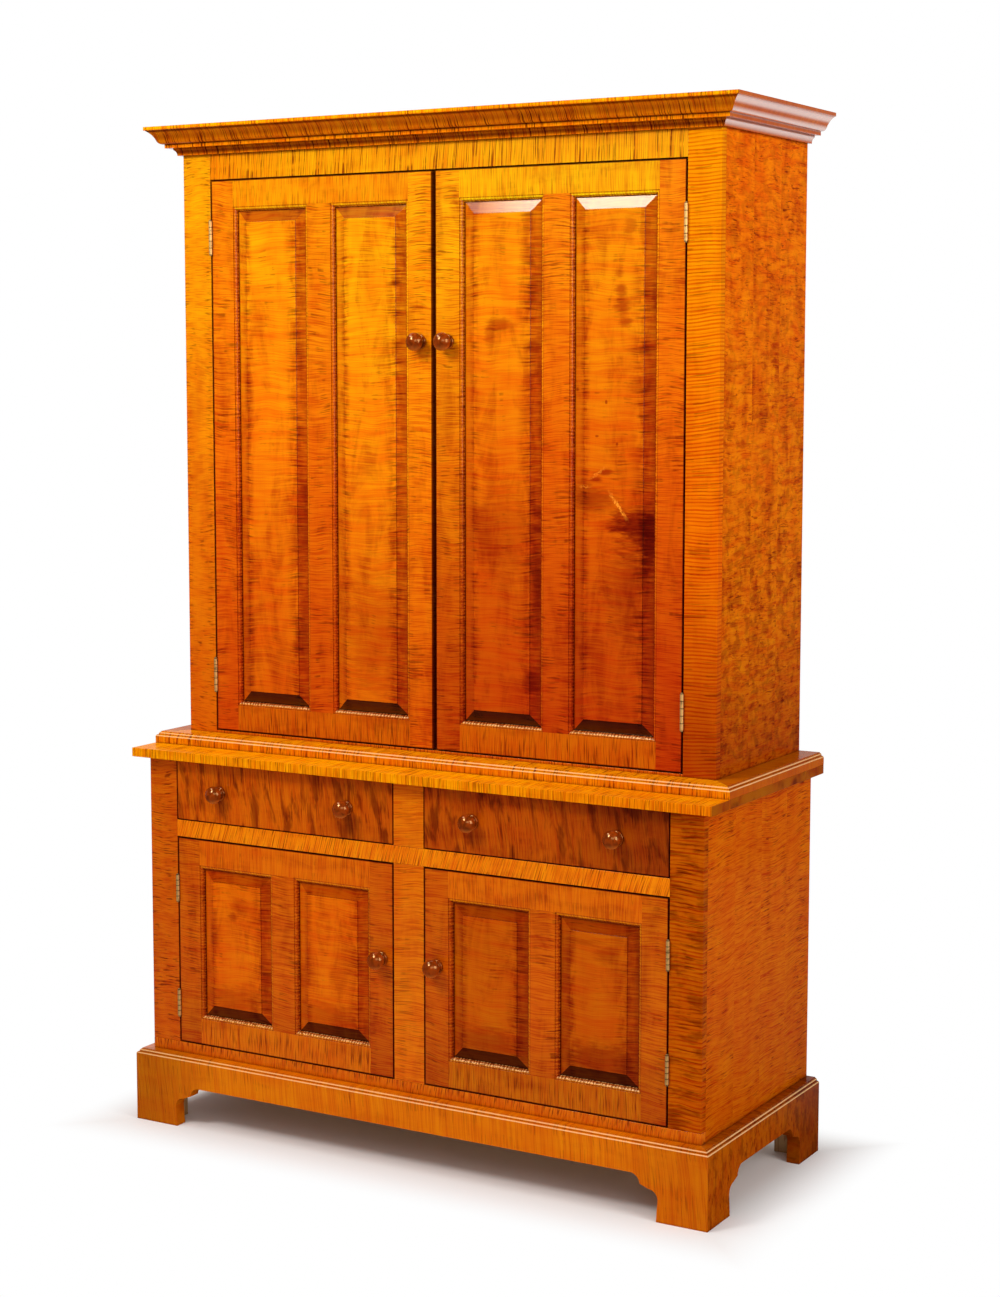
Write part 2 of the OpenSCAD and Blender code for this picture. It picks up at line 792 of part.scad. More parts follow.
module cornice_section() {
    meet = [ovolo_reach + ovolo_r * cos(curve_tilt), ovolo_z + ovolo_r - ovolo_r * sin(curve_tilt)];
    band_z = cornice_h - cornice_band;
    square([bed_foot, bed_h]);
    difference() {
        square([bed_reach, bed_h]);
        translate([bed_foot + bed_r, bed_flat]) circle(bed_r);
        translate([bed_foot, -eps]) square([bed_reach, bed_flat + eps]);
    }
    translate([0, fillet_z]) square([fillet_reach, fillet_h]);
    translate([ovolo_reach, ovolo_z + ovolo_r]) circle(ovolo_r);
    difference() {
        polygon([
            [0, ovolo_z],
            [ovolo_reach, ovolo_z],
            meet,
            [cornice_reach, band_z],
            [0, band_z]
        ]);
        translate(meet + hollow_r * [cos(curve_tilt), -sin(curve_tilt)]) circle(hollow_r);
    }
    translate([0, band_z]) square([cornice_reach, cornice_band]);
}

// Runs a section along the front of a case and mitres both ends
module front_run(half_w, y_face, reach, height) {
    wide = half_w + reach;
    intersection() {
        translate([-wide, y_face, 0]) rotate([90, 0, 90]) linear_extrude(2 * wide)
            mirror([1, 0]) children();
        linear_extrude(height)
            polygon([[-half_w, y_face], [-wide, y_face - reach], [wide, y_face - reach], [half_w, y_face]]);
    }
}

// Runs a section along the left side of a case and mitres the front end
module side_run(half_w, y_face, reach, height) {
    intersection() {
        translate([-half_w, y_rear, 0]) mirror([1, 0, 0]) rotate([90, 0, 0])
            linear_extrude(y_rear - y_face + reach) children();
        linear_extrude(height)
            polygon([
                [-half_w, y_face + fit_gap],
                [-half_w, y_rear],
                [-half_w - reach, y_rear],
                [-half_w - reach, y_face + fit_gap - reach]
            ]);
    }
}

// Opening between two scrolled feet that are the given length apart
module arch(length) {
    upper_x = scroll_point + upper_scroll_r;
    upper_z = arch_h - upper_scroll_r;
    ledge_z = foot_h + lower_scroll_r;
    point_z = upper_z + point_rise;
    polygon([[foot_flare, -eps], [0, foot_h], [length, foot_h], [length - foot_flare, -eps]]);
    polygon([
        [lower_scroll_r, foot_h - eps],
        [lower_scroll_r, ledge_z],
        [scroll_point, point_z],
        [length - scroll_point, point_z],
        [length - lower_scroll_r, ledge_z],
        [length - lower_scroll_r, foot_h - eps]
    ]);
    translate([upper_x, point_z - eps]) square([length - 2 * upper_x, arch_h - point_z + eps]);
    for (x = [lower_scroll_r, length - lower_scroll_r]) translate([x, foot_h]) circle(lower_scroll_r);
    for (x = [upper_x, length - upper_x]) translate([x, upper_z]) circle(upper_scroll_r);
}

module base_side_left() {
    color(maple) base_side(-1);
}

module base_side_right() {
    color(maple) base_side(1);
}

module base_stile_left() {
    color(maple) base_stile(-1);
}

module base_stile_right() {
    color(maple) base_stile(1);
}

module base_centre_stiles() {
    color(maple) translate([0, y_base, 0]) {
        for (z = [[sill_z, lower_head_z], [drawer_z, top_z]])
            board([-centre_stile_w / 2, 0, z[0]], [centre_stile_w / 2, frame_t, z[1]]);
        centre_tenons();
    }
}

module base_mid_rail() {
    color(maple) translate([0, y_base, 0]) difference() {
        union() {
            board([-base_edge_x, 0, lower_head_z], [base_edge_x, frame_t, drawer_z]);
            mid_rail_tenons();
        }
        centre_tenons(fit_gap);
    }
}

module base_bottom_rail() {
    color(maple) translate([0, y_base, 0]) difference() {
        board([-base_w / 2, 0, plinth_z], [base_w / 2, frame_t, sill_z]);
        stile_foot_tenons(fit_gap);
        centre_tenons(fit_gap);
    }
}

module base_floor() {
    color(board_wood) cross_board(base_w / 2, y_base + frame_t, sill_z - case_t, case_t);
}

module base_back_boards() {
    color(board_wood) back_boards(base_w / 2 - case_t + dado - fit_gap, plinth_z, top_z);
}

module dust_board() {
    color(board_wood) cross_board(base_w / 2, y_base + frame_t, dust_top_z - dust_t, dust_t);
}

module drawer_guides() {
    inner = centre_stile_w / 2 + guide_out;
    color(board_wood) {
        for (s = [0, 1]) mirror([s, 0, 0])
            board(
                [base_edge_x - guide_out, y_base + frame_t, dust_top_z],
                [base_w / 2 - case_t, y_rear - back_t, dust_top_z + guide_h]
            );
        board([-inner, y_base + frame_t, dust_top_z], [inner, y_rear - back_t, dust_top_z + guide_h]);
    }
}

// The top is glued up from a front board, which is the open step, and a wide
// one behind it, which carries the upper case and its moulding
module base_top() {
    joint_y = y_upper - waist_reach;
    color(maple) {
        board([-top_half_w, y_base - top_overhang, top_z], [top_half_w, joint_y - fit_gap, base_h]);
        board([-top_half_w, joint_y, top_z], [top_half_w, y_rear, base_h]);
    }
}

module bracket_front() {
    half_w = base_w / 2 + bracket_t;
    color(maple) difference() {
        front_run(base_w / 2, y_base, bracket_t, bracket_h) moulded_edge(bracket_t, bracket_h);
        translate([front_foot_w - half_w, y_base + eps, 0]) rotate([90, 0, 0])
            linear_extrude(bracket_t + 2 * eps) arch(2 * (half_w - front_foot_w));
    }
}

module bracket_side(side) {
    depth = base_d + bracket_t;
    on_side(side) difference() {
        side_run(base_w / 2, y_base, bracket_t, bracket_h) moulded_edge(bracket_t, bracket_h);
        translate([-base_w / 2 - bracket_t - eps, y_base - bracket_t + side_foot_w, 0]) rotate([90, 0, 90])
            linear_extrude(bracket_t + 2 * eps) arch(depth - 2 * side_foot_w);
    }
}

module bracket_left() {
    color(maple) bracket_side(-1);
}

module bracket_right() {
    color(maple) bracket_side(1);
}

module foot_blocks() {
    x = base_w / 2 - block_w;
    color(board_wood) for (s = [0, 1], y = [y_base, y_rear - block_w])
        mirror([s, 0, 0]) translate([x, y, 0]) cube([block_w, block_w, plinth_z]);
}

module waist_moulding() {
    color(maple) translate([0, 0, base_h]) {
        front_run(upper_w / 2, y_upper, waist_reach, waist_h) moulded_edge(waist_reach, waist_h);
        for (side = [-1, 1]) on_side(side)
            side_run(upper_w / 2, y_upper, waist_reach, waist_h) moulded_edge(waist_reach, waist_h);
    }
}

module upper_side_left() {
    color(maple) upper_side(-1);
}

module upper_side_right() {
    color(maple) upper_side(1);
}

module upper_stile_left() {
    color(maple) upper_stile(-1);
}

module upper_stile_right() {
    color(maple) upper_stile(1);
}

module upper_top_rail() {
    color(maple) translate([0, y_upper, 0]) {
        board([-upper_edge_x, 0, upper_head_z], [upper_edge_x, frame_t, upper_top_z]);
        upper_head_tenons();
    }
}

module upper_bottom_rail() {
    color(maple) translate([0, y_upper, 0]) {
        board([-upper_edge_x, 0, base_h], [upper_edge_x, frame_t, upper_sill_z]);
        upper_sill_tenons();
    }
}

module upper_top() {
    color(board_wood) cross_board(upper_w / 2, y_upper + frame_t, upper_top_z - case_t, case_t);
}

module upper_floor() {
    color(board_wood) cross_board(upper_w / 2, y_upper + frame_t, upper_sill_z - case_t, case_t);
}

module upper_shelves() {
    color(board_wood) for (k = [0 : shelf_count - 1])
        cross_board(upper_w / 2, y_upper + frame_t + shelf_gap, shelf_z(k), case_t);
}

module upper_back_boards() {
    color(board_wood) back_boards(upper_w / 2 - case_t + dado - fit_gap, base_h, upper_top_z);
}

module cornice() {
    color(maple_dark) translate([0, 0, cornice_z]) {
        front_run(upper_w / 2, y_upper, cornice_reach, cornice_h) cornice_section();
        for (side = [-1, 1]) on_side(side)
            side_run(upper_w / 2, y_upper, cornice_reach, cornice_h) cornice_section();
    }
}

module hinge_frame_leaves() {
    color(brass) for (side = [-1, 1]) {
        hang_upper(side) frame_leaves(upper_door(side));
        hang_lower(side) frame_leaves(lower_door(side));
    }
}

module hinge_pins() {
    color(brass) for (side = [-1, 1]) {
        hang_upper(side) door_pins(upper_door(side));
        hang_lower(side) door_pins(lower_door(side));
    }
}

module upper_left_stiles() {
    color(maple) hang_upper(-1) door_stiles(upper_door(-1));
}

module upper_left_rails() {
    color(maple) hang_upper(-1) door_rails(upper_door(-1));
}

module upper_left_panels() {
    color(maple) hang_upper(-1) door_panels(upper_door(-1));
}

module upper_left_knob() {
    color(knob_wood) hang_upper(-1) door_knob(upper_door(-1));
}

module upper_left_leaves() {
    color(brass) hang_upper(-1) door_leaves(upper_door(-1));
}

module upper_right_stiles() {
    color(maple) hang_upper(1) door_stiles(upper_door(1));
}

module upper_right_rails() {
    color(maple) hang_upper(1) door_rails(upper_door(1));
}

module upper_right_panels() {
    color(maple) hang_upper(1) door_panels(upper_door(1));
}

module upper_right_knob() {
    color(knob_wood) hang_upper(1) door_knob(upper_door(1));
}

module upper_right_leaves() {
    color(brass) hang_upper(1) door_leaves(upper_door(1));
}

module lower_left_stiles() {
    color(maple) hang_lower(-1) door_stiles(lower_door(-1));
}

module lower_left_rails() {
    color(maple) hang_lower(-1) door_rails(lower_door(-1));
}

module lower_left_panels() {
    color(maple) hang_lower(-1) door_panels(lower_door(-1));
}

module lower_left_knob() {
    color(knob_wood) hang_lower(-1) door_knob(lower_door(-1));
}

module lower_left_leaves() {
    color(brass) hang_lower(-1) door_leaves(lower_door(-1));
}

module lower_right_stiles() {
    color(maple) hang_lower(1) door_stiles(lower_door(1));
}

module lower_right_rails() {
    color(maple) hang_lower(1) door_rails(lower_door(1));
}

module lower_right_panels() {
    color(maple) hang_lower(1) door_panels(lower_door(1));
}

module lower_right_knob() {
    color(knob_wood) hang_lower(1) door_knob(lower_door(1));
}

module lower_right_leaves() {
    color(brass) hang_lower(1) door_leaves(lower_door(1));
}

module drawer_left_front() {
    color(maple_dark) place_drawer(-1) drawer_front();
}

module drawer_left_sides() {
    color(board_wood) place_drawer(-1) drawer_sides();
}

module drawer_left_back() {
    color(board_wood) place_drawer(-1) drawer_back_board();
}

module drawer_left_bottom() {
    color(board_wood) place_drawer(-1) drawer_bottom();
}

module drawer_left_knobs() {
    color(knob_wood) place_drawer(-1) drawer_knobs();
}

module drawer_right_front() {
    color(maple_dark) place_drawer(1) drawer_front();
}

module drawer_right_sides() {
    color(board_wood) place_drawer(1) drawer_sides();
}

module drawer_right_back() {
    color(board_wood) place_drawer(1) drawer_back_board();
}

module drawer_right_bottom() {
    color(board_wood) place_drawer(1) drawer_bottom();
}

module drawer_right_knobs() {
    color(knob_wood) place_drawer(1) drawer_knobs();
}

base_side_left();
base_side_right();
base_stile_left();
base_stile_right();
base_centre_stiles();
base_mid_rail();
base_bottom_rail();
base_floor();
base_back_boards();
dust_board();
drawer_guides();
base_top();
bracket_front();
bracket_left();
bracket_right();
foot_blocks();
waist_moulding();
upper_side_left();
upper_side_right();
upper_stile_left();
upper_stile_right();
upper_top_rail();
upper_bottom_rail();
upper_top();
upper_floor();
upper_shelves();
upper_back_boards();
cornice();
hinge_frame_leaves();
hinge_pins();
upper_left_stiles();
upper_left_rails();
upper_left_panels();
upper_left_knob();
upper_left_leaves();
upper_right_stiles();
upper_right_rails();
upper_right_panels();
upper_right_knob();
upper_right_leaves();
lower_left_stiles();
lower_left_rails();
lower_left_panels();
lower_left_knob();
lower_left_leaves();
lower_right_stiles();
lower_right_rails();
lower_right_panels();
lower_right_knob();
lower_right_leaves();
drawer_left_front();
drawer_left_sides();
drawer_left_back();
drawer_left_bottom();
drawer_left_knobs();
drawer_right_front();
drawer_right_sides();
drawer_right_back();
drawer_right_bottom();
drawer_right_knobs();
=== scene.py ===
"""Looks of a two-part stepback cupboard in stained curly maple: camera, studio, woods, brass and screws."""
import math
from collections import namedtuple
from dataclasses import dataclass

import bmesh
import bpy
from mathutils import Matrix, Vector


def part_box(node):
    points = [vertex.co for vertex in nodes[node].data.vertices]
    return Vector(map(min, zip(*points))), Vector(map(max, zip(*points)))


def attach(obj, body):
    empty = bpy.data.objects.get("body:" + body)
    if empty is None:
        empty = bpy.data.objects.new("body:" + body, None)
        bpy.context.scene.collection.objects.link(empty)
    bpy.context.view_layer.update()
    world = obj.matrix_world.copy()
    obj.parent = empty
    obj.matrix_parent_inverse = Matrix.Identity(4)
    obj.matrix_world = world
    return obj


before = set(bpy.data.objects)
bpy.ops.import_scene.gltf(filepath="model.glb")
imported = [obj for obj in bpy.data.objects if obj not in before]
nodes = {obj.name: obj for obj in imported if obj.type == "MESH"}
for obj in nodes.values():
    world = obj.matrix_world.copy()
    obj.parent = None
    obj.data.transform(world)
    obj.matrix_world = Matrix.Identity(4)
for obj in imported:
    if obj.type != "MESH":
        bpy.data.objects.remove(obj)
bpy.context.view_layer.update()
MM = 0.001
TURN = 2 * math.pi
WHITE = (1, 1, 1)

# The camera: its place, the way it looks, its focal length in mm and its shift
CAMERA_PLACE = (2.5052, -4.2260, 1.6330)
CAMERA_AIM = (-0.5009, 0.8591, -0.1053)
LENS = 65.755
SHIFT = (0.0107, -0.025)

# The studio: the way to the backdrop, and the brightness of the backdrop, of the room in front and of its
# mirror image
BACKWARD = (-0.5, 0.86, 0)
BACKDROP = 0.8
ROOM = 0.2
DARK_ROOM = 0.03

# Half the width and depth of the cupboard, where its shadow on the floor begins
HALF_WIDTH = 0.69
HALF_DEPTH = 0.28

# Soft boxes: place, target, size and watts
SOFT_BOXES = {
    "key": ((-1.03, -2.75, 3.5), (0.1, -0.1, 1.7), (1.0, 1.0), 72),
    "above": ((-1.7, -1.5, 4.2), (0.0, -0.2, 0.9), (3.0, 0.7), 45),
    "front": ((2.7, -4.2, 3.0), (0, -0.1, 1.2), (3.0, 2.0), 45),
    "right": ((4.2, -1.2, 2.4), (0.5, 0.1, 1.1), (2.0, 2.5), 100)}

# Which coordinates run along the grain, across the face and through the board
GRAIN = {"x": (0, 2, 1), "y": (1, 2, 0), "z": (2, 0, 1)}

# The woods' colours at the top, in the middle and at the foot; the change from top to foot is painted light,
# paler high up
FRONT = ((0.86, 0.27, 0.001), (0.84, 0.17, 0.001), (0.70, 0.112, 0.001))
SIDE = ((0.92, 0.155, 0.001), (0.80, 0.15, 0.001), (0.62, 0.115, 0.001))
PLAIN = (0.62, 0.40, 0.19)

# Plain nodes inside and behind, the way of their grain, and their boards: axis, start and pitch
HIDDEN = (
    ("base_floor", "x", ()), ("dust_board", "x", ()), ("drawer_guides", "y", ()), ("foot_blocks", "z", ()),
    ("upper_top", "x", ()), ("upper_floor", "x", ()), ("upper_shelves", "x", (2, 0.98, 0.33)),
    ("base_back_boards", "z", (0, -0.6434, 0.1838)), ("upper_back_boards", "z", (0, -0.6164, 0.1761)))

# The upper case's front and right side, the foot of its cornice, and the front of the base's top
FRONT_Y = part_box("upper_stile_right")[0].y
SIDE_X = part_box("upper_side_right")[1].x
CORNICE_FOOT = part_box("cornice")[0].z
TOP_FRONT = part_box("base_top")[0].y

# Cornice front, painted light and shade: a painted highlight on the top band, and painted shade in the hollow
# under it, in lines beside the fillet and on the bed moulding
COVE_SHADE = (0.22, 0.11, 0.3)
COVE = ((2.1312, 0.005, 1.0, (1.08, 1.6, 1)), (2.1248, 0.004, 0.9, COVE_SHADE), (2.112, 0.016, 0.62, COVE_SHADE),
        (2.0985, 0.0022, 0.85, COVE_SHADE), (2.083, 0.0095, 0.9, COVE_SHADE))

# Door joinery: width of the stiles and rails, and width of the bevel round a panel's field
STILE_W = 0.055
BEVEL_W = 0.033

# Rows of doors: width of the muntin, gloss of the panels, and painted shade on their foot, head and right
# bevels
DOOR_ROWS = {"upper": (0.057, 0.5, (0.95, 0.75, 0.9)), "lower": (0.055, 0.2, (0.87, 0.65, 0.8))}

# Each door: seed, height of the dark foot and its shade, shade of the panels, and shades of single boards
DOORS = {
    "upper_left": dict(
        seed=20, foot=(0.75, (0.92, 0.84, 1)), tone=(1.08, 1.18, 1),
        stiles=((1, 0.88, 1), (0.95, 0.86, 1), (1.07, 1.22, 1)),
        rails=((0.9, 1.1, 1), (1, 1.1, 1)), panels=((1, 1, 1), (1.02, 1.17, 1))),
    "upper_right": dict(
        seed=30, foot=(1.05, (0.73, 0.51, 1)), tone=(1.01, 1.0, 1),
        stiles=((1.03, 1.26, 1), (1, 0.88, 1), (1.0, 0.82, 1)),
        rails=((0.9, 1.12, 1), (1.03, 1.5, 1)), panels=((1.04, 1.08, 1), (1.01, 1.02, 1))),
    "lower_left": dict(
        seed=24.4, foot=(0.2, (0.8, 0.75, 1)), tone=(1.07, 1.26, 1),
        stiles=((0.88, 1.0, 1), (0.92, 1.05, 1), (0.85, 0.9, 1)),
        rails=((0.95, 1.25, 1), (1.03, 1.28, 1)), panels=()),
    "lower_right": dict(
        seed=34.4, foot=(0.2, (0.8, 0.75, 1)), tone=(0.79, 0.91, 1),
        stiles=((0.85, 0.95, 1), (0.9, 1.0, 1), (0.85, 1.0, 1)),
        rails=((0.78, 1.1, 1), (1.0, 1.25, 1)), panels=())}

# Dark places in the panels: x, z, half width, half height and depth
BLOTS = {
    "upper_left": (
        (-0.15, 1.08, 0.09, 0.16, 0.4), (-0.095, 1.80, 0.012, 0.008, 0.8), (-0.33, 1.30, 0.03, 0.10, 0.6),
        (-0.335, 1.06, 0.02, 0.05, 0.6)),
    "upper_right": (
        (0.149, 1.712, 0.036, 0.016, 0.75), (0.125, 1.69, 0.014, 0.024, 0.6),
        (0.221, 1.668, 0.022, 0.014, 0.75), (0.238, 1.62, 0.012, 0.03, 0.6),
        (0.232, 1.344, 0.014, 0.012, 0.9), (0.232, 1.309, 0.014, 0.010, 0.9),
        (0.232, 1.20, 0.014, 0.08, 0.7), (0.223, 1.004, 0.025, 0.03, 0.8),
        (0.150, 1.30, 0.08, 0.12, 0.4), (0.414, 1.811, 0.010, 0.012, 0.6),
        (0.417, 1.777, 0.014, 0.014, 0.8), (0.421, 1.748, 0.020, 0.020, 0.85),
        (0.428, 1.716, 0.016, 0.010, 0.7), (0.435, 1.894, 0.014, 0.03, 0.5),
        (0.489, 1.757, 0.012, 0.03, 0.85), (0.458, 1.662, 0.035, 0.012, 0.6),
        (0.469, 1.595, 0.035, 0.02, 0.6), (0.386, 1.562, 0.003, 0.004, 0.95),
        (0.366, 1.496, 0.004, 0.003, 0.9), (0.410, 1.481, 0.003, 0.005, 0.95),
        (0.320, 1.587, 0.005, 0.004, 0.8), (0.364, 1.412, 0.016, 0.007, 0.9),
        (0.386, 1.426, 0.018, 0.007, 0.9), (0.365, 1.368, 0.055, 0.028, 0.5),
        (0.415, 1.322, 0.045, 0.018, 0.8), (0.450, 1.325, 0.055, 0.034, 0.95),
        (0.464, 1.315, 0.06, 0.075, 0.6), (0.482, 1.30, 0.022, 0.07, 0.95),
        (0.440, 1.20, 0.07, 0.11, 0.6), (0.350, 1.38, 0.05, 0.03, 0.45)),
    "lower_left": (
        (-0.44, 0.47, 0.014, 0.010, 0.7), (-0.42, 0.49, 0.03, 0.02, 0.5), (-0.45, 0.29, 0.09, 0.03, 0.5),
        (-0.19, 0.29, 0.09, 0.03, 0.5)),
    "lower_right": (
        (0.18, 0.29, 0.09, 0.035, 0.6), (0.44, 0.29, 0.10, 0.04, 0.7), (0.40, 0.52, 0.04, 0.008, 0.5),
        (0.45, 0.50, 0.03, 0.02, 0.5))}

# Pale lines of the crotch figure in one panel: x and z of both ends, half width and depth
FLARES = {
    "upper_right": (
        (0.392, 1.390, 0.433, 1.334, 0.0046, 1.5), (0.349, 1.411, 0.388, 1.437, 0.0036, 0.8),
        (0.322, 1.398, 0.356, 1.396, 0.0036, 0.6))}

# Hinges of each row of doors: length, and the pin's distance from X = 0 and place in Y
HINGE_ROWS = {"upper": (0.072, 0.55575, -0.1353), "lower": (0.058, 0.58275, -0.2438)}
KNUCKLES = 5
Hinge = namedtuple("Hinge", "door side middle_z length pin_x pin_y")

# Screws in a leaf: distance of the leaf's face from the pin, and each screw's distance from the middle of the
# leaf, as a share of its length, and behind the pin
LEAF_FACE = 0.35 * MM
SCREW_PLACES = ((-0.36, 0.0095), (0.0, 0.0165), (0.36, 0.0095))

# Slotted head: half the slot's width, and radius and height in mm of the rings of each half and of the
# slot's floor
HALF_SLOT = 0.25 * MM
HEAD_RINGS = ((2.0, -0.5), (2.6, 0.03), (2.4, 0.09), (1.6, 0.14), (0.8, 0.16))
SLOT_RINGS = ((1.6, -0.9), (2.0, -0.4), (1.9, -0.28))

# Edges sharper than these angles are eased
SHARP = math.radians(28)
PANEL_SHARP = math.radians(8)


@dataclass
class Look:
    """How a node's maple looks. The figure's sizes are in mm, and places are metres in the part's frame."""

    seed: float = 0.0  # which stretch of wood the node is cut from
    boards: tuple = ()  # the boards in the node: axis, start and pitch
    tints: tuple = ()  # shade of each board
    tone: tuple = WHITE  # shade of the whole node
    dusk: tuple = ()  # slow changes: axis, where full, where none, and shade
    curl: float = 0.6  # strength of the soft bands
    pitch: float = 6  # their size along the grain
    length: float = 60  # their size across it
    regular: float = 0.0  # how even they are
    slant: float = 0.0  # how much they lean
    sway: float = 1.0  # how much they wander
    quilt: float = 0.0  # share of blistered figure in them
    ink: float = 0.5  # strength of the dark ticks
    cover: float = 0.5  # how much of the node has ticks
    fringe: tuple = ()  # strips full of ticks: axis, middle, half width and strength
    edging: float = 0.0  # dark stain in those strips
    soft: float = 0.4  # strength of the broad bands
    rich: float = 0.0  # how red the dark side of a band stays
    blotch: float = 0.3  # strength of the uneven stain
    smoke: tuple = ()  # brown clouds: strength and size
    wrap: tuple = ()  # front y and side x of the case that a moulding goes round
    returns: tuple = ()  # shade of a moulding's returns
    painted_bands: tuple = ()  # painted highlight and shade in bands along a moulding's front: middle z, half width, depth and shade
    gloss_and_sheen: tuple = ()  # glossy bands on its returns, also paler in colour as a painted sheen: middle z, half width and strength
    bead_highlight: float = 0.0  # painted highlight on faces that look half up, the rounds of the mouldings
    top_light: tuple = ()  # painted light on faces that look up
    ends: tuple = ()  # shade of faces that look sideways
    bevels: tuple = ()  # painted shade on a panel's foot, head and right bevels
    sash: tuple = ()  # a door's panel openings, as panes() gives them
    border: tuple = ()  # a front's left, right, bottom and top edges, with painted shade along them
    blots: tuple = ()  # dark places, as in BLOTS
    flares: tuple = ()  # pale lines, as in FLARES
    specular: float = 0.25  # gloss, on the shader's own sockets
    roughness: float = 0.2
    coat_ior: float = 1.5
    relief: float = 1.0  # share of the bump's depth


class Graph:
    """A material or world tree with short calls for its nodes."""

    def __init__(self, tree):
        self.tree = tree
        tree.nodes.clear()

    def add(self, kind, inputs=(), **settings):
        node = self.tree.nodes.new(kind)
        for key, value in settings.items():
            setattr(node, key, value)
        for key, value in dict(inputs).items():
            self.put(node.inputs[key], value)
        return node

    def put(self, socket, value):
        if isinstance(value, bpy.types.NodeSocket):
            self.tree.links.new(value, socket)
        elif socket.type == "RGBA" and len(value) == 3:
            socket.default_value = (*value, 1)
        else:
            socket.default_value = value

    def math(self, op, a, b=0.0, clamp=False):
        return self.add("ShaderNodeMath", {0: a, 1: b}, operation=op, use_clamp=clamp).outputs[0]

    def plus(self, a, b):
        return self.math("ADD", a, b)

    def minus(self, a, b):
        return self.math("SUBTRACT", a, b)

    def times(self, a, b):
        return self.math("MULTIPLY", a, b)

    def between(self, a, b, share):
        """a where share is 0, and b where it is 1."""
        return self.plus(self.times(a, 1 - share), self.times(b, share))

    def vector(self, op, a, b):
        return self.add("ShaderNodeVectorMath", {0: a, 1: b}, operation=op).outputs[0]

    def noise(self, vector, sizes, detail=2.0, rough=0.5, bend=0.0):
        """Noise from 0 to 1, whose features have these sizes in metres."""
        inputs = {"Vector": self.vector("MULTIPLY", vector, tuple(1 / s for s in sizes)), "Scale": 1.0,
                  "Detail": detail, "Roughness": rough, "Distortion": bend}
        return self.add("ShaderNodeTexNoise", inputs).outputs[0]

    def swing(self, noise, reach):
        """The same noise to both sides of 0."""
        return self.times(self.minus(noise, 0.5), reach)

    def ramp(self, value, low, high, to_low=0.0, to_high=1.0):
        inputs = {"Value": value, "From Min": low, "From Max": high, "To Min": to_low, "To Max": to_high}
        return self.add("ShaderNodeMapRange", inputs, interpolation_type="SMOOTHSTEP").outputs[0]

    def pulse(self, value, middle, width):
        """1 where value is middle, and 0 further than width from it."""
        return self.ramp(self.math("ABSOLUTE", self.minus(value, middle)), width, 0.0)

    def mix(self, amount, a, b, blend="MIX"):
        node = self.add("ShaderNodeMix", data_type="RGBA", blend_type=blend)
        for key, value in (("Factor_Float", amount), ("A_Color", a), ("B_Color", b)):
            self.put(next(s for s in node.inputs if s.identifier == key), value)
        return next(s for s in node.outputs if s.identifier == "Result_Color")

    def shade(self, amount, colour, by):
        """Multiplies colour by another one."""
        return self.mix(amount, colour, by, "MULTIPLY")

    def axes(self, vector):
        return self.add("ShaderNodeSeparateXYZ", {0: vector}).outputs

    def join(self, x, y, z):
        return self.add("ShaderNodeCombineXYZ", {0: x, 1: y, 2: z}).outputs[0]

    def rays(self):
        """1 for rays from the camera, and 1 for rays that gloss or glass sends on."""
        path = self.add("ShaderNodeLightPath").outputs
        mirrored = self.math("MAXIMUM", path["Is Glossy Ray"], path["Is Transmission Ray"])
        return path["Is Camera Ray"], mirrored


class Material(Graph):
    """A new material, with the part's own coordinates."""

    def __init__(self, name):
        self.mat = bpy.data.materials.new(name)
        self.mat.use_nodes = True
        super().__init__(self.mat.node_tree)
        self.place = self.add("ShaderNodeTexCoord").outputs["Object"]
        self.xyz = self.axes(self.place)

    def facing(self):
        """The way the surface looks, as X, Y and Z."""
        return self.axes(self.add("ShaderNodeTexCoord").outputs["Normal"])

    def openness(self, distance):
        """1 on an open face, and less in a corner within that distance."""
        return self.add("ShaderNodeAmbientOcclusion", {"Distance": distance}, samples=6).outputs["AO"]

    def board_index(self, boards):
        """The number of the board at a point. boards is axis, start and pitch."""
        axis, first, pitch = boards
        return self.math("FLOOR", self.times(self.minus(self.xyz[axis], first), 1 / pitch))

    def surface(self, colour, roughness, height, depth, specular=0.5, coat=0.0, coat_roughness=0.1,
                coat_ior=1.5, metallic=0.0, mirror=(1, 0.84, 0.62)):
        """Ends the material. What is the same all over goes on the shader's own sockets."""
        bump = self.add("ShaderNodeBump", {"Strength": 1.0, "Distance": depth, "Height": height})
        shader = self.add("ShaderNodeBsdfPrincipled", {
            "Base Color": colour, "Roughness": roughness, "Normal": bump.outputs[0], "Metallic": metallic,
            "Specular IOR Level": specular, "Coat Weight": coat, "Coat Roughness": coat_roughness,
            "Coat IOR": coat_ior, "Specular Tint": mirror})
        self.add("ShaderNodeOutputMaterial", {"Surface": shader.outputs[0]})
        return self.mat


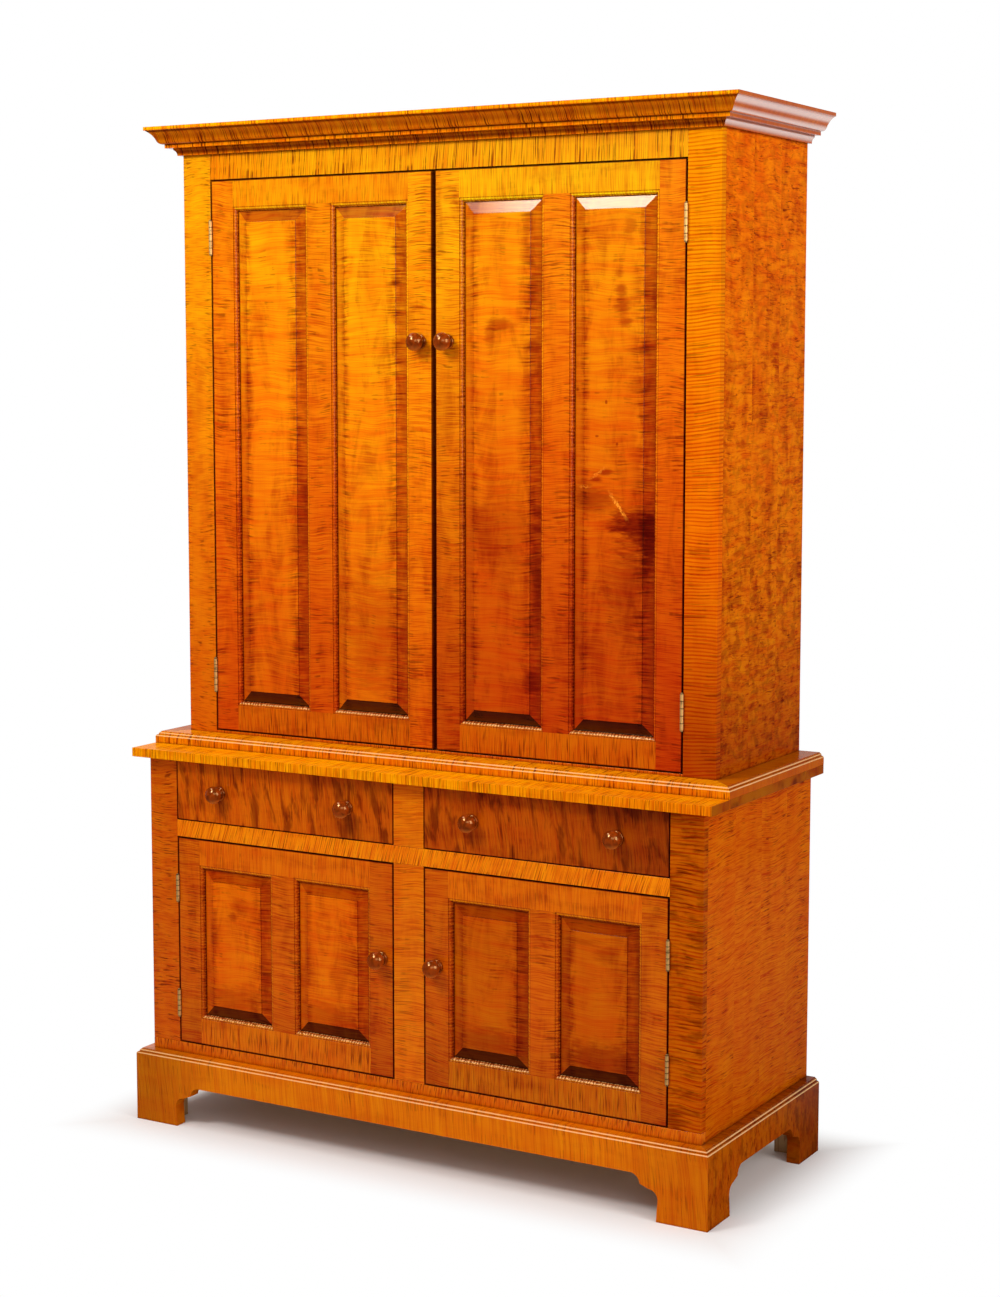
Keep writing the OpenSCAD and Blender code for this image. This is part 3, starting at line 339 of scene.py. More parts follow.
class Maple(Material):
    """Stained curly maple. wood is the place in the board's wood, and bent is the same place with the curl's
    lean and wandering. side is 1 on a moulding's returns, where the grain turns the corner."""

    def __init__(self, name, grain, look):
        super().__init__(name)
        self.look = look
        along, across, through = (self.xyz[i] for i in GRAIN[grain])
        self.side = 0.0
        if look.wrap:
            front_y, side_x = look.wrap
            reach = self.plus(self.math("ABSOLUTE", self.xyz[0]), self.xyz[1])
            self.side = self.math("GREATER_THAN", reach, side_x + front_y)
            step = self.times(self.side, self.minus(through, along))
            along = self.plus(along, step)
            through = self.minus(through, step)
        jump = look.seed
        aside = look.seed * 0.37
        if look.boards:
            self.index = self.board_index(look.boards)
            jump = self.plus(self.times(self.index, 3.7), look.seed)
            aside = self.times(jump, 0.37)
        u = self.plus(along, jump)
        v = self.plus(across, aside)
        self.wood = self.join(u, v, through)
        drift = self.swing(self.noise(self.wood, (0.30, 0.13, 0.13), 1), 0.03 * look.sway)
        fine_drift = self.swing(self.noise(self.wood, (0.03, 0.025, 0.025), 1), 0.0022 * look.sway)
        self.bent_u = self.plus(self.plus(u, self.plus(drift, fine_drift)), self.times(across, look.slant))
        self.bent = self.join(self.bent_u, v, through)
        self.fibres = self.noise(self.wood, (0.07, 0.0011, 0.0011), 3, 0.6)
        self.make_curl()

    def make_curl(self):
        """The soft bands, and the dark ticks, which lie in patches and along the fringes."""
        look = self.look
        pitch, length = look.pitch * MM, look.length * MM
        self.bands = self.noise(self.bent, (pitch * 0.27, length * 1.3, length * 1.3), 1)
        elsewhere = self.vector("ADD", self.bent, (5.1, 0, 0))
        ticks = self.noise(elsewhere, (pitch * 0.40, length, length), 1, 0.4)
        if look.regular:
            phase = self.times(self.noise(self.wood, (0.05, 0.12, 0.12), 1), 7)
            wave = self.math("SINE", self.plus(self.times(self.bent_u, TURN / pitch), phase))
            even = self.plus(self.times(wave, 0.2), 0.5)
            self.bands = self.between(self.bands, even, look.regular)
        if look.quilt:
            blisters = self.noise(self.wood, (pitch * 1.3, length * 0.4, length), 2, 0.6, 1.2)
            self.bands = self.between(self.bands, blisters, look.quilt)
            ticks = self.between(ticks, blisters, look.quilt)
        patches = self.noise(self.wood, (0.09, 0.035, 0.05), 2, 0.6)
        patches = self.ramp(patches, 0.66 - 0.42 * look.cover, 0.76 - 0.34 * look.cover, 0.1, 1.0)
        self.margin = 0.0
        for axis, middle, half_width, strength in look.fringe:
            strip = self.times(self.pulse(self.xyz[axis], middle, half_width), strength)
            self.margin = self.math("MAXIMUM", self.margin, strip)
        patches = self.times(self.math("MAXIMUM", patches, self.margin), look.ink)
        self.ticks = self.math("MULTIPLY", self.ramp(ticks, 0.46, 0.31), patches, clamp=True)
        self.troughs = self.times(self.ramp(self.bands, 0.52, 0.36), look.curl)
        self.crests = self.times(self.ramp(self.bands, 0.5, 0.66), look.curl * 0.7)
        if look.returns:
            self.ticks = self.times(self.ticks, self.minus(1, self.times(self.side, 0.8)))
            self.troughs = self.times(self.troughs, self.minus(1, self.times(self.side, 0.6)))

    def base_colour(self, tones):
        """Painted light that fades from the top to the foot, the node's and the board's shades, and slow
        changes along the grain.
        """
        look = self.look
        high, middle, low = tones
        # Painted light: paler towards the top and darker towards the foot
        colour = self.mix(self.ramp(self.xyz[2], 0.8, 1.6), low, middle)
        colour = self.mix(self.ramp(self.xyz[2], 1.3, 2.1), colour, high)
        colour = self.shade(1.0, colour, look.tone)
        for k, tint in enumerate(look.tints):
            colour = self.shade(self.pulse(self.index, k, 0.5), colour, tint)
        for axis, full, none, tone in look.dusk:
            colour = self.shade(self.ramp(self.xyz[axis], none, full), colour, tone)
        tide = self.noise(self.wood, (0.15, 0.05, 0.05))
        colour = self.shade(self.ramp(tide, 0.52, 0.30, 0.0, 0.7), colour, (0.95, 0.78, 0.7))
        return self.shade(self.ramp(tide, 0.50, 0.70, 0.0, 0.7), colour, (1.03, 1.14, 1.0))

    def shade_by_face(self, colour):
        """Shades that depend on the way a face looks, or on its place in a moulding, among them painted light
        and painted shade.
        """
        look = self.look
        # Painted light on faces that look up
        if look.top_light:
            colour = self.shade(self.ramp(self.facing()[2], 0.8, 0.95), colour, look.top_light)
        if look.ends:
            outward = self.math("ABSOLUTE", self.facing()[0])
            colour = self.shade(self.ramp(outward, 0.6, 0.8), colour, look.ends)
        if look.returns:
            colour = self.shade(self.side, colour, look.returns)
        # Painted highlight and painted shade in bands across the moulding's front
        for middle, half_width, depth, tone in look.painted_bands:
            on_front = self.times(self.minus(1, self.side), depth)
            amount = self.times(self.pulse(self.xyz[2], middle, half_width), on_front)
            colour = self.shade(amount, colour, tone)
        if look.bevels:
            colour = bevel_shade(self, colour, *look.bevels)
        return colour

    def uneven_stain(self, colour):
        """Broad bands across the grain, brown clouds, blotches and dark fringes."""
        look = self.look
        pitch, length = look.pitch * MM, look.length * MM
        broad = self.noise(self.bent, (pitch * 2.2, length * 2, length * 2), 1)
        dim = self.times(self.ramp(broad, 0.52, 0.34), look.soft)
        colour = self.shade(dim, colour, (0.92 + 0.06 * look.rich, 0.66, 0.5))
        colour = self.shade(self.times(self.ramp(broad, 0.5, 0.66), look.soft), colour, (1.04, 1.16, 1.0))
        if look.smoke:
            strength, size = look.smoke
            cloud = self.noise(self.bent, (pitch * 2.2 * size, length * 1.1 * size, length), 3, 0.6, 0.5)
            lowness = self.times(self.ramp(self.xyz[2], 1.9, 0.95, 0.5, 1.0), strength)
            colour = self.shade(self.times(self.ramp(cloud, 0.54, 0.36), lowness), colour, (0.34, 0.22, 0.3))
        streaky = self.ramp(self.bands, 0.62, 0.40, 0.5, 1.0)
        blotch = self.ramp(self.noise(self.wood, (0.13, 0.05, 0.05), 4, 0.6, 0.5), 0.45, 0.72)
        colour = self.shade(self.times(self.times(blotch, streaky), look.blotch), colour, (0.56, 0.28, 0.4))
        if look.edging:
            cloud = self.ramp(self.noise(self.wood, (0.06, 0.025, 0.025), 3, 0.6, 0.4), 0.36, 0.62)
            near = self.times(self.times(cloud, streaky), self.margin)
            near = self.math("MULTIPLY", near, look.edging, clamp=True)
            colour = self.shade(near, colour, (0.62, 0.34, 0.4))
        return colour

    def figure(self, colour):
        """Fine lines along the grain, then the curl's crests, troughs and ticks."""
        rich = self.look.rich
        colour = self.shade(self.times(self.ramp(self.fibres, 0.5, 0.75), 0.12), colour, (0.5, 0.3, 0.2))
        colour = self.shade(self.crests, colour, (1.05, 1.22, 1.0))
        colour = self.shade(self.troughs, colour, (0.80 + 0.15 * rich, 0.42 + 0.16 * rich, 0.35))
        return self.shade(self.ticks, colour, (0.26, 0.11, 0.2))

    def marks(self, colour):
        """Painted highlight on rounds that look half up, single dark places and pale lines, painted shade in
        corners, lines of painted shade and highlight round the panels, and painted shade along the edges.
        """
        look = self.look
        if look.bead_highlight:
            # Painted highlight on the rounds that look half up
            lit_bead = self.times(self.pulse(self.facing()[2], 0.5, 0.42), look.bead_highlight)
            colour = self.mix(lit_bead, colour, (0.95, 0.60, 0.26))
        for place_size_depth in look.blots:
            colour = blot(self, colour, *place_size_depth)
        for ends_width_depth in look.flares:
            colour = flare(self, colour, *ends_width_depth)
        # Painted shade in corners and creases, by how open the surface is
        corner_shade = self.ramp(self.openness(8 * MM), 0.85, 0.25, 0.0, 0.9)
        colour = self.shade(corner_shade, colour, (0.22, 0.08, 0.05))
        if look.sash:
            colour = sash_lines(self, colour, *look.sash)
        if look.border:
            colour = edge_shade(self, colour, *look.border)
        return colour

    def material(self, tones):
        look = self.look
        colour = self.base_colour(tones)
        colour = self.shade_by_face(colour)
        colour = self.uneven_stain(colour)
        colour = self.figure(colour)
        colour = self.marks(colour)
        coat = 0.0
        for middle, half_width, strength in look.gloss_and_sheen:
            on_side = self.times(self.side, strength)
            sheen_band = self.times(self.pulse(self.xyz[2], middle, half_width), on_side)
            coat = self.math("ADD", coat, sheen_band, clamp=True)
            # Painted sheen: the glossy bands are paler in colour too
            colour = self.mix(self.math("MULTIPLY", sheen_band, 0.32, clamp=True), colour, (0.95, 0.52, 0.36))
        rough = self.plus(self.times(self.fibres, 0.08), look.roughness - 0.04)
        height = self.plus(self.times(self.bands, 0.5), self.times(self.fibres, 0.15))
        depth = 0.012 * MM * look.relief
        return self.surface(colour, rough, height, depth, look.specular, coat, 0.08, look.coat_ior)


def blot(g, colour, x, z, half_width, half_height, depth):
    """A darker place in the stain, with a broken outline."""
    across = g.times(g.minus(g.xyz[0], x), 1 / half_width)
    upward = g.times(g.minus(g.xyz[2], z), 1 / half_height)
    away = g.math("SQRT", g.plus(g.times(across, across), g.times(upward, upward)))
    ragged = g.plus(away, g.swing(g.noise(g.wood, (0.006, 0.03, 0.03), 2, 0.6, 0.3), 1.4))
    return g.shade(g.ramp(ragged, 1.25, 0.3, 0.0, depth), colour, (0.52, 0.22, 0.4))


def flare(g, colour, x1, z1, x2, z2, half_width, depth):
    """A pale, crooked and broken line in the figure from one place to another."""
    length = math.hypot(x2 - x1, z2 - z1)
    run, rise = (x2 - x1) / length, (z2 - z1) / length
    from_x, from_z = g.minus(g.xyz[0], x1), g.minus(g.xyz[2], z1)
    along = g.plus(g.times(from_x, run), g.times(from_z, rise))
    aside = g.minus(g.times(from_x, rise), g.times(from_z, run))
    crooked = g.swing(g.noise(g.place, (0.008, 0.008, 0.008), 3, 0.7), 0.016)
    broken = g.ramp(g.noise(g.place, (0.005, 0.005, 0.005), 2, 0.6), 0.36, 0.56, 0.25, 1.0)
    line = g.times(g.pulse(g.plus(aside, crooked), 0.0, half_width), broken)
    stretch = g.pulse(along, length / 2, length * 0.62)
    return g.mix(g.math("MULTIPLY", g.times(line, stretch), depth, clamp=True), colour, (1.0, 0.30, 0.018))


def sash_lines(g, colour, left, right, width, low, high):
    """Painted shade in the steps of the moulding round both panels of a door and at the edge of the field,
    and a painted highlight on the moulding's round. left and right are the middles of the openings, and
    inside is the distance from an opening's edge in mm."""
    to_left = g.math("ABSOLUTE", g.minus(g.xyz[0], left))
    to_right = g.math("ABSOLUTE", g.minus(g.xyz[0], right))
    sideways = g.minus(g.math("MINIMUM", to_left, to_right), width / 2)
    upright = g.minus(g.math("ABSOLUTE", g.minus(g.xyz[2], (low + high) / 2)), (high - low) / 2)
    inside = g.times(g.math("MAXIMUM", sideways, upright), -1 / MM)

    # Rungs are the marks that the curl leaves across the moulding
    level = g.math("GREATER_THAN", upright, sideways)
    along = g.plus(g.xyz[2], g.times(level, g.minus(g.xyz[0], g.xyz[2])))
    turns = g.plus(g.times(along, TURN / 0.0068), g.times(g.noise(g.place, (0.03, 0.05, 0.03), 1), 9))
    loose = g.noise(g.place, (0.0026, 0.05, 0.0026), 1)
    rungs = g.ramp(g.plus(g.times(g.math("SINE", turns), 0.12), loose), 0.62, 0.40, 0.15, 1.0)

    # Painted shade as dark lines in the outer step, the inner step and round the field, and a painted
    # highlight on the round between the steps
    dark = g.plus(g.times(g.pulse(inside, 0.7, 1.3), 0.75), g.times(g.pulse(inside, 7.6, 2.8), 0.9))
    dark = g.times(g.plus(dark, g.times(g.pulse(inside, 32.2, 1.3), 0.6)), rungs)
    colour = g.shade(dark, colour, (0.40, 0.14, 0.1))
    light = g.times(g.pulse(inside, 3.8, 2.2), g.minus(1.35, rungs))
    middle = (left + right) / 2
    half_pitch = right - middle
    from_door = g.minus(g.xyz[0], middle)
    from_pane = g.minus(from_door, g.times(g.math("SIGN", from_door), half_pitch))
    on_left = g.times(g.ramp(from_pane, 0.0, -0.01), g.minus(1, level))
    colour = g.shade(g.times(light, g.minus(1, g.times(on_left, 0.8))), colour, (1.25, 2.3, 1.5))

    # The sill below each panel catches the light, and the left side is in shade
    up = g.ramp(g.facing()[2], 0.1, 0.5)
    on_sill = g.times(up, g.times(g.ramp(inside, -1.0, 0.5), g.ramp(inside, 10.0, 8.5)))
    beading = g.mix(g.ramp(rungs, 0.3, 0.75), (0.95, 0.50, 0.18), (0.20, 0.05, 0.01))
    colour = g.mix(g.times(on_sill, 0.7), colour, beading)
    ladder = g.times(g.times(on_left, g.pulse(inside, 4.5, 6)), g.plus(g.times(rungs, 0.8), 0.15))
    return g.shade(ladder, colour, (0.62, 0.36, 0.5))


def edge_shade(g, colour, left, right, low, high):
    """Painted shade along the outer edges of a door or drawer front, beside the gaps round it."""
    sideways = g.minus((right - left) / 2, g.math("ABSOLUTE", g.minus(g.xyz[0], (left + right) / 2)))
    upright = g.minus((high - low) / 2, g.math("ABSOLUTE", g.minus(g.xyz[2], (low + high) / 2)))
    inside = g.times(g.math("MINIMUM", sideways, upright), 1 / MM)
    return g.shade(g.ramp(inside, 2.0, 0.6, 0.0, 0.9), colour, (0.22, 0.09, 0.05))


def bevel_shade(g, colour, foot, head, right):
    """Painted shade on the bevels of a raised panel, darkest on the lower one, which looks down, and with the
    curl's rungs on the right one.
    """
    lean_x, _, lean_z = g.facing()
    # Painted shade by the way each bevel looks: down, up, right and left
    colour = g.shade(g.ramp(lean_z, -0.06, -0.16, 0, foot), colour, (0.07, 0.04, 0.3))
    colour = g.shade(g.ramp(lean_z, 0.06, 0.16, 0, head), colour, (0.42, 0.19, 0.5))
    rungs = g.ramp(g.noise(g.place, (0.05, 0.05, 0.0028), 2, 0.6), 0.62, 0.38, 0.45, 1.0)
    colour = g.shade(g.times(g.ramp(lean_x, 0.06, 0.16, 0, right), rungs), colour, (0.60, 0.26, 0.5))
    return g.shade(g.ramp(lean_x, -0.06, -0.16, 0, 0.4), colour, (0.75, 0.6, 0.5))


def plain_board(name, grain, tone, seed, boards=()):
    """Unfinished secondary wood, as on hidden boards: flat-sawn figure, fine lines, the dust of years and
    painted shade in corners.
    """
    g = Material(name)
    along, across, through = (g.xyz[i] for i in GRAIN[grain])
    jump = seed
    colour = tone
    if boards:
        jump = g.plus(g.times(g.board_index(boards), 2.3), seed)
        across = g.plus(across, g.times(jump, 0.21))
        chance = g.noise(g.join(g.times(jump, 1.7), 0.0, 0.0), (1, 1, 1), 0)
        colour = g.mix(g.ramp(chance, 0.3, 0.7), g.shade(1.0, tone, (0.86, 0.80, 0.72)), tone)
    wood = g.join(g.plus(along, jump), across, through)
    rings = g.math("FRACT", g.times(g.noise(wood, (1.1, 0.03, 0.05), 3, 0.5, 0.9), 11))
    late = g.times(g.ramp(rings, 0.35, 0.95), g.ramp(rings, 1.0, 0.95))
    fibres = g.noise(wood, (0.09, 0.0012, 0.0012), 3, 0.6)
    colour = g.mix(g.times(late, 0.75), colour, g.shade(1.0, tone, (0.62, 0.44, 0.30)))
    colour = g.mix(g.times(g.ramp(fibres, 0.5, 0.8), 0.35), colour, g.shade(1.0, tone, (0.6, 0.46, 0.34)))
    dust = g.noise(wood, (0.3, 0.12, 0.12), 3, 0.6)
    colour = g.mix(g.times(g.ramp(dust, 0.45, 0.75), 0.35), colour, (0.36, 0.22, 0.11))
    # Painted shade in corners, by how open the surface is
    colour = g.shade(g.ramp(g.openness(30 * MM), 0.95, 0.45, 0.0, 0.6), colour, (0.45, 0.32, 0.22))
    rough = g.plus(g.times(fibres, 0.2), 0.55)
    return g.surface(colour, rough, g.plus(g.times(late, 0.3), fibres), 0.12 * MM, 0.25, mirror=WHITE)


def turned_wood(name, seed):
    """Dark, polished knobs turned with the grain along their axis, with a painted orange reflection
    underneath and painted shade where they meet the front.
    """
    g = Material(name)
    x, y, z = g.xyz
    wood = g.join(g.plus(y, seed), x, z)
    bands = g.noise(wood, (0.03, 0.008, 0.014), 2, 0.5, 0.4)
    fibres = g.noise(wood, (0.02, 0.0009, 0.0009), 2, 0.6)
    colour = g.mix(g.ramp(bands, 0.35, 0.7), (0.29, 0.038, 0.002), (0.14, 0.019, 0.001))
    colour = g.mix(g.times(g.ramp(fibres, 0.5, 0.8), 0.3), colour, (0.12, 0.018, 0.002))
    # Painted reflection: faces that look down are paler orange, as if lit from the wood below
    colour = g.mix(g.ramp(g.facing()[2], -0.3, -0.85, 0.0, 0.5), colour, (0.7, 0.2, 0.03))
    # Painted shade near the front, by how open the surface is
    colour = g.shade(g.ramp(g.openness(9 * MM), 0.8, 0.2, 0.0, 0.85), colour, (0.2, 0.1, 0.1))
    rough = g.plus(g.times(fibres, 0.04), 0.14)
    return g.surface(colour, rough, fibres, 0.002 * MM, 1.0, 0.12, 0.05, mirror=(1, 0.58, 0.18))


def hinges():
    """Two hinges on each door. side is -1 on the cupboard's left and 1 on its right."""
    found = []
    for row, (length, pin_x, pin_y) in HINGE_ROWS.items():
        for side_name, side in (("left", -1), ("right", 1)):
            door = f"{row}_{side_name}"
            low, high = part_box(door + "_leaves")
            for middle_z in (low.z + length / 2, high.z - length / 2):
                found.append(Hinge(door, side, middle_z, length, pin_x, pin_y))
    return found


def knuckle_lines(g, colour, hinge):
    """Dark lines between the knuckles of one hinge."""
    half_knuckle = hinge.length / KNUCKLES / 2
    from_end = g.minus(g.xyz[2], hinge.middle_z - hinge.length / 2)
    from_joint = g.math("PINGPONG", from_end, half_knuckle)
    level = g.math("LESS_THAN", g.math("ABSOLUTE", g.minus(g.xyz[2], hinge.middle_z)), hinge.length * 0.52)
    same_side = g.math("GREATER_THAN", g.times(g.xyz[0], hinge.side), 0)
    amount = g.times(g.times(level, same_side), g.ramp(from_joint, 0.0012, 0.0004))
    return g.shade(amount, colour, (0.25, 0.12, 0.05))


def old_brass(name, tone=(0.90, 0.57, 0.19), knuckles=True):
    """Brass with brown clouds and fine scratches."""
    g = Material(name)
    cloud = g.noise(g.place, (0.012, 0.012, 0.012), 4, 0.6)
    scratch = g.noise(g.place, (0.0004, 0.004, 0.01), 2, 0.6)
    colour = g.mix(g.ramp(cloud, 0.5, 0.75), tone, (0.24, 0.13, 0.04))
    if knuckles:
        for hinge in hinges():
            colour = knuckle_lines(g, colour, hinge)
    rough = g.plus(g.times(cloud, 0.2), 0.42)
    return g.surface(colour, rough, scratch, 0.02 * MM, 0.5, metallic=0.75, mirror=WHITE)


def front_edges(node):
    """A front's left, right, bottom and top."""
    low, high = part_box(node)
    return (low.x, high.x, low.z, high.z)


def panes(door, muntin):
    """A door's two panel openings: their middles, width, bottom and top."""
    left, right, low, high = front_edges(door + "_stiles")
    width = (right - left - 2 * STILE_W - muntin) / 2
    inset = STILE_W + width / 2
    return (left + inset, right - inset, width, low + STILE_W, high - STILE_W)


def stile_boards(node):
    """Boards of a door's stiles: two stiles and the muntin between them."""
    low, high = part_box(node)
    pitch = (high.x - low.x - STILE_W) / 2
    return (0, low.x - (pitch - STILE_W) / 2, pitch)


def two_boards(node, axis):
    low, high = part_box(node)
    return (axis, low[axis], (high[axis] - low[axis]) / 2)


looks = {}


def put(node, grain, tones=FRONT, **look):
    looks[node] = Maple(node, grain, Look(**look)).material(tones)


def dress_stiles_and_rails():
    put("upper_stile_left", "z", seed=1.1, curl=0.5, ink=0.7, pitch=7, length=25, cover=0.35,
        tone=(1, 1.18, 1), fringe=((0, -SIDE_X, 0.02, 1), (0, -0.565, 0.018, 1)))
    put("upper_stile_right", "z", seed=2.3, curl=1.0, pitch=7.2, length=90, regular=0.55, cover=0.6,
        slant=-0.05, soft=0.35, sway=0.6, specular=0.003, roughness=0.12, relief=0.3,
        dusk=((2, 0.8, 1.3, (0.61, 0.54, 1)),))
    put("base_stile_left", "z", seed=3.7, ink=0.8, pitch=7, length=28, cover=0.6, tone=(0.87, 0.93, 1))
    put("base_stile_right", "z", seed=4.9, curl=1.0, ink=0.65, pitch=8.2, regular=0.45, cover=0.8, sway=0.8,
        tone=(0.72, 0.84, 1), smoke=(0.6, 1), specular=0.003, roughness=0.12, relief=0.3)
    put("base_centre_stiles", "z", seed=5.3, curl=0.8, pitch=6.5, cover=0.6, tone=(1.06, 1.45, 1))
    put("upper_top_rail", "x", seed=6.1, curl=0.8, ink=1.0, pitch=4.8, length=90, cover=0.7, slant=-0.06,
        sway=0.3, regular=0.25, tone=(1.02, 1.32, 1), fringe=((2, CORNICE_FOOT, 0.04, 1),),
        dusk=((0, -0.62, -0.3, (0.98, 0.70, 1)),))
    put("upper_bottom_rail", "x", seed=7.9, curl=0.7, ink=0.8, length=30, cover=0.8, tone=(1, 1.2, 1))
    put("base_mid_rail", "x", seed=8.3, curl=0.8, ink=0.8, cover=0.9, slant=-0.3, sway=0.4,
        tone=(1.25, 2.0, 1))
    put("base_bottom_rail", "x", seed=9.7, curl=0.7, ink=0.8, length=30, cover=0.8, tone=(1, 1.3, 1))


def dress_mouldings():
    """The cornice, the waist moulding, the top of the base and its brackets."""
    put("cornice", "x", seed=10.3, curl=0.9, ink=1.0, cover=0.85, sway=0.3, tone=(1.05, 0.9, 1),
        wrap=(FRONT_Y, SIDE_X), returns=(0.62, 0.42, 1), painted_bands=COVE,
        gloss_and_sheen=((2.1205, 0.0085, 1.4), (2.1025, 0.0075, 1.4), (2.0840, 0.0085, 1.4)),
        coat_ior=3.8, specular=0.1, roughness=0.12, relief=0.1)
    put("waist_moulding", "x", seed=11.1, curl=0.7, ink=0.9, length=40, cover=0.7, sway=0.3, specular=0.01,
        tone=(1.15, 2.0, 1), top_light=(1.08, 1.3, 1), wrap=(FRONT_Y, SIDE_X), returns=(0.62, 0.44, 1),
        bead_highlight=0.8, fringe=((2, 0.82, 0.014, 1),))
    put("base_top", "x", seed=12.7, curl=0.8, ink=0.65, pitch=4.8, length=50, cover=0.8, sway=0.3,
        specular=0.005, tone=(1.30, 2.7, 1), top_light=(1.06, 1.2, 1), ends=(0.40, 0.34, 1),
        fringe=((1, TOP_FRONT, 0.01, 1),), dusk=((0, 0.66, 0.2, (0.93, 0.74, 1)),))
    put("bracket_front", "x", seed=13.1, curl=0.5, length=90, slant=0.1, sway=0.4, tone=(1.02, 1.5, 1),
        bead_highlight=0.7, specular=0.12,
        dusk=((0, -0.67, -0.42, (0.66, 0.68, 1)), (0, 0.67, 0.45, (0.83, 0.82, 1))))
    put("bracket_left", "y", seed=14.1, pitch=8, cover=0.6, tone=(0.9, 1.2, 1), bead_highlight=0.7)
    put("bracket_right", "y", seed=15.1, curl=0.7, ink=0.7, pitch=8, length=40, cover=0.7, quilt=0.5,
        tone=(0.58, 0.74, 1), smoke=(0.5, 1), bead_highlight=0.8, specular=0.02, roughness=0.12,
        dusk=((1, 0.26, 0.02, (0.6, 0.5, 1)),))


def dress_sides():
    """The sides are glued up of strips about 130 mm wide."""
    for side_name, seed in (("right", 16.3), ("left", 17.3)):
        put("upper_side_" + side_name, "z", SIDE, seed=seed, curl=0.8, ink=0.8, length=34, cover=0.62,
            quilt=0.6, blotch=0.9, soft=0.8, boards=(1, -0.112, 0.13), tone=(1.0, 1.2, 1), smoke=(0.5, 1.9),
            dusk=((2, 0.8, 1.2, (0.73, 0.56, 1)),), specular=0.003, roughness=0.12, relief=0.3)
        put("base_side_" + side_name, "z", SIDE, seed=seed + 2, curl=1.0, ink=0.8, pitch=5, length=40,
            cover=0.45, quilt=0.3, soft=0.5, boards=(1, -0.2205, 0.125), tone=(0.96, 1.0, 1),
            fringe=((1, 0.24, 0.06, 1.3), (1, -0.21, 0.03, 1.3)),
            dusk=((2, 0.1, 0.6, (0.85, 0.85, 1)),), specular=0.003, roughness=0.12, relief=0.3)


def dress_door(door, muntin, gloss, bevels):
    """Stiles, rails, panels, knob and hinge leaves of one door."""
    shades = DOORS[door]
    seed = shades["seed"]
    stiles, rails, panels = door + "_stiles", door + "_rails", door + "_panels"
    border = front_edges(stiles)
    sash = panes(door, muntin)
    bottom = border[2]
    foot_h, foot_shade = shades["foot"]
    dusk = ((2, bottom, bottom + foot_h, foot_shade),)
    field_edges = [(0, middle + end * (sash[2] / 2 - BEVEL_W), reach, 1.3)
                   for middle in sash[:2] for end, reach in ((1, 0.036), (-1, 0.016))]
    put(stiles, "z", seed=seed, curl=0.8, ink=0.65, pitch=7.5, length=50, cover=0.45, blotch=0.7, dusk=dusk,
        boards=stile_boards(stiles), tints=shades["stiles"], sash=sash, border=border)
    put(rails, "x", seed=seed + 1.3, ink=0.4, length=50, blotch=0.6, sway=0.4, boards=two_boards(rails, 2),
        tints=shades["rails"], sash=sash, border=border, fringe=((2, bottom + 0.02, 0.06, 2),))
    put(panels, "z", seed=seed + 2.1, rich=1.0, pitch=8.5, cover=0.22, blotch=0.75, soft=0.55, edging=0.75,
        fringe=field_edges, boards=two_boards(panels, 0), tints=shades["panels"], tone=shades["tone"],
        dusk=dusk, sash=sash, bevels=bevels, blots=BLOTS[door], flares=FLARES.get(door, ()), specular=gloss,
        roughness=0.14)
    looks[door + "_knob"] = turned_wood(door + "_knob", seed)
    looks[door + "_leaves"] = old_brass(door + "_leaves")


def dress_drawers():
    """Fronts, knobs and plain boxes. The right drawer is darker, and both fronts darken to the right."""
    for drawer, seed, tone, right_end in (("drawer_left", 40, (0.90, 1.0, 1), (0.85, 0.8, 1)),
                                          ("drawer_right", 45, (0.72, 0.73, 1), (0.6, 0.52, 1))):
        left, right, low, high = front_edges(drawer + "_front")
        put(drawer + "_front", "x", seed=seed, ink=0.6, pitch=7, slant=0.1, sway=0.5, blotch=0.5,
            smoke=(0.8, 1.5), tone=tone, border=(left, right, low, high), fringe=((2, high, 0.035, 1),),
            dusk=((0, right, left + 0.25, right_end),))
        looks[drawer + "_knobs"] = turned_wood(drawer + "_knobs", seed)
        looks[drawer + "_sides"] = plain_board(drawer + "_sides", "y", (0.62, 0.42, 0.22), seed)
        looks[drawer + "_back"] = plain_board(drawer + "_back", "x", (0.60, 0.41, 0.22), seed + 1)
        looks[drawer + "_bottom"] = plain_board(drawer + "_bottom", "x", (0.64, 0.46, 0.26), seed + 2)


def dress_inside():
    """Floors, shelves, guides, blocks and back boards."""
    for k, (name, grain, boards) in enumerate(HIDDEN):
        looks[name] = plain_board(name, grain, PLAIN, 83.3 + 1.7 * k, boards)


def dress():
    """Gives every node its material."""
    dress_stiles_and_rails()
    dress_mouldings()
    dress_sides()
    for row, (muntin, gloss, bevels) in DOOR_ROWS.items():
        for side_name in ("left", "right"):
            dress_door(f"{row}_{side_name}", muntin, gloss, bevels)
    dress_drawers()
    dress_inside()
    looks["hinge_frame_leaves"] = old_brass("hinge_frame_leaves")
    looks["hinge_pins"] = old_brass("hinge_pins", (0.66, 0.50, 0.21))
    for name, mat in looks.items():
        for slot in nodes[name].material_slots:
            slot.material = mat
    assert set(looks) == set(nodes), set(nodes) ^ set(looks)


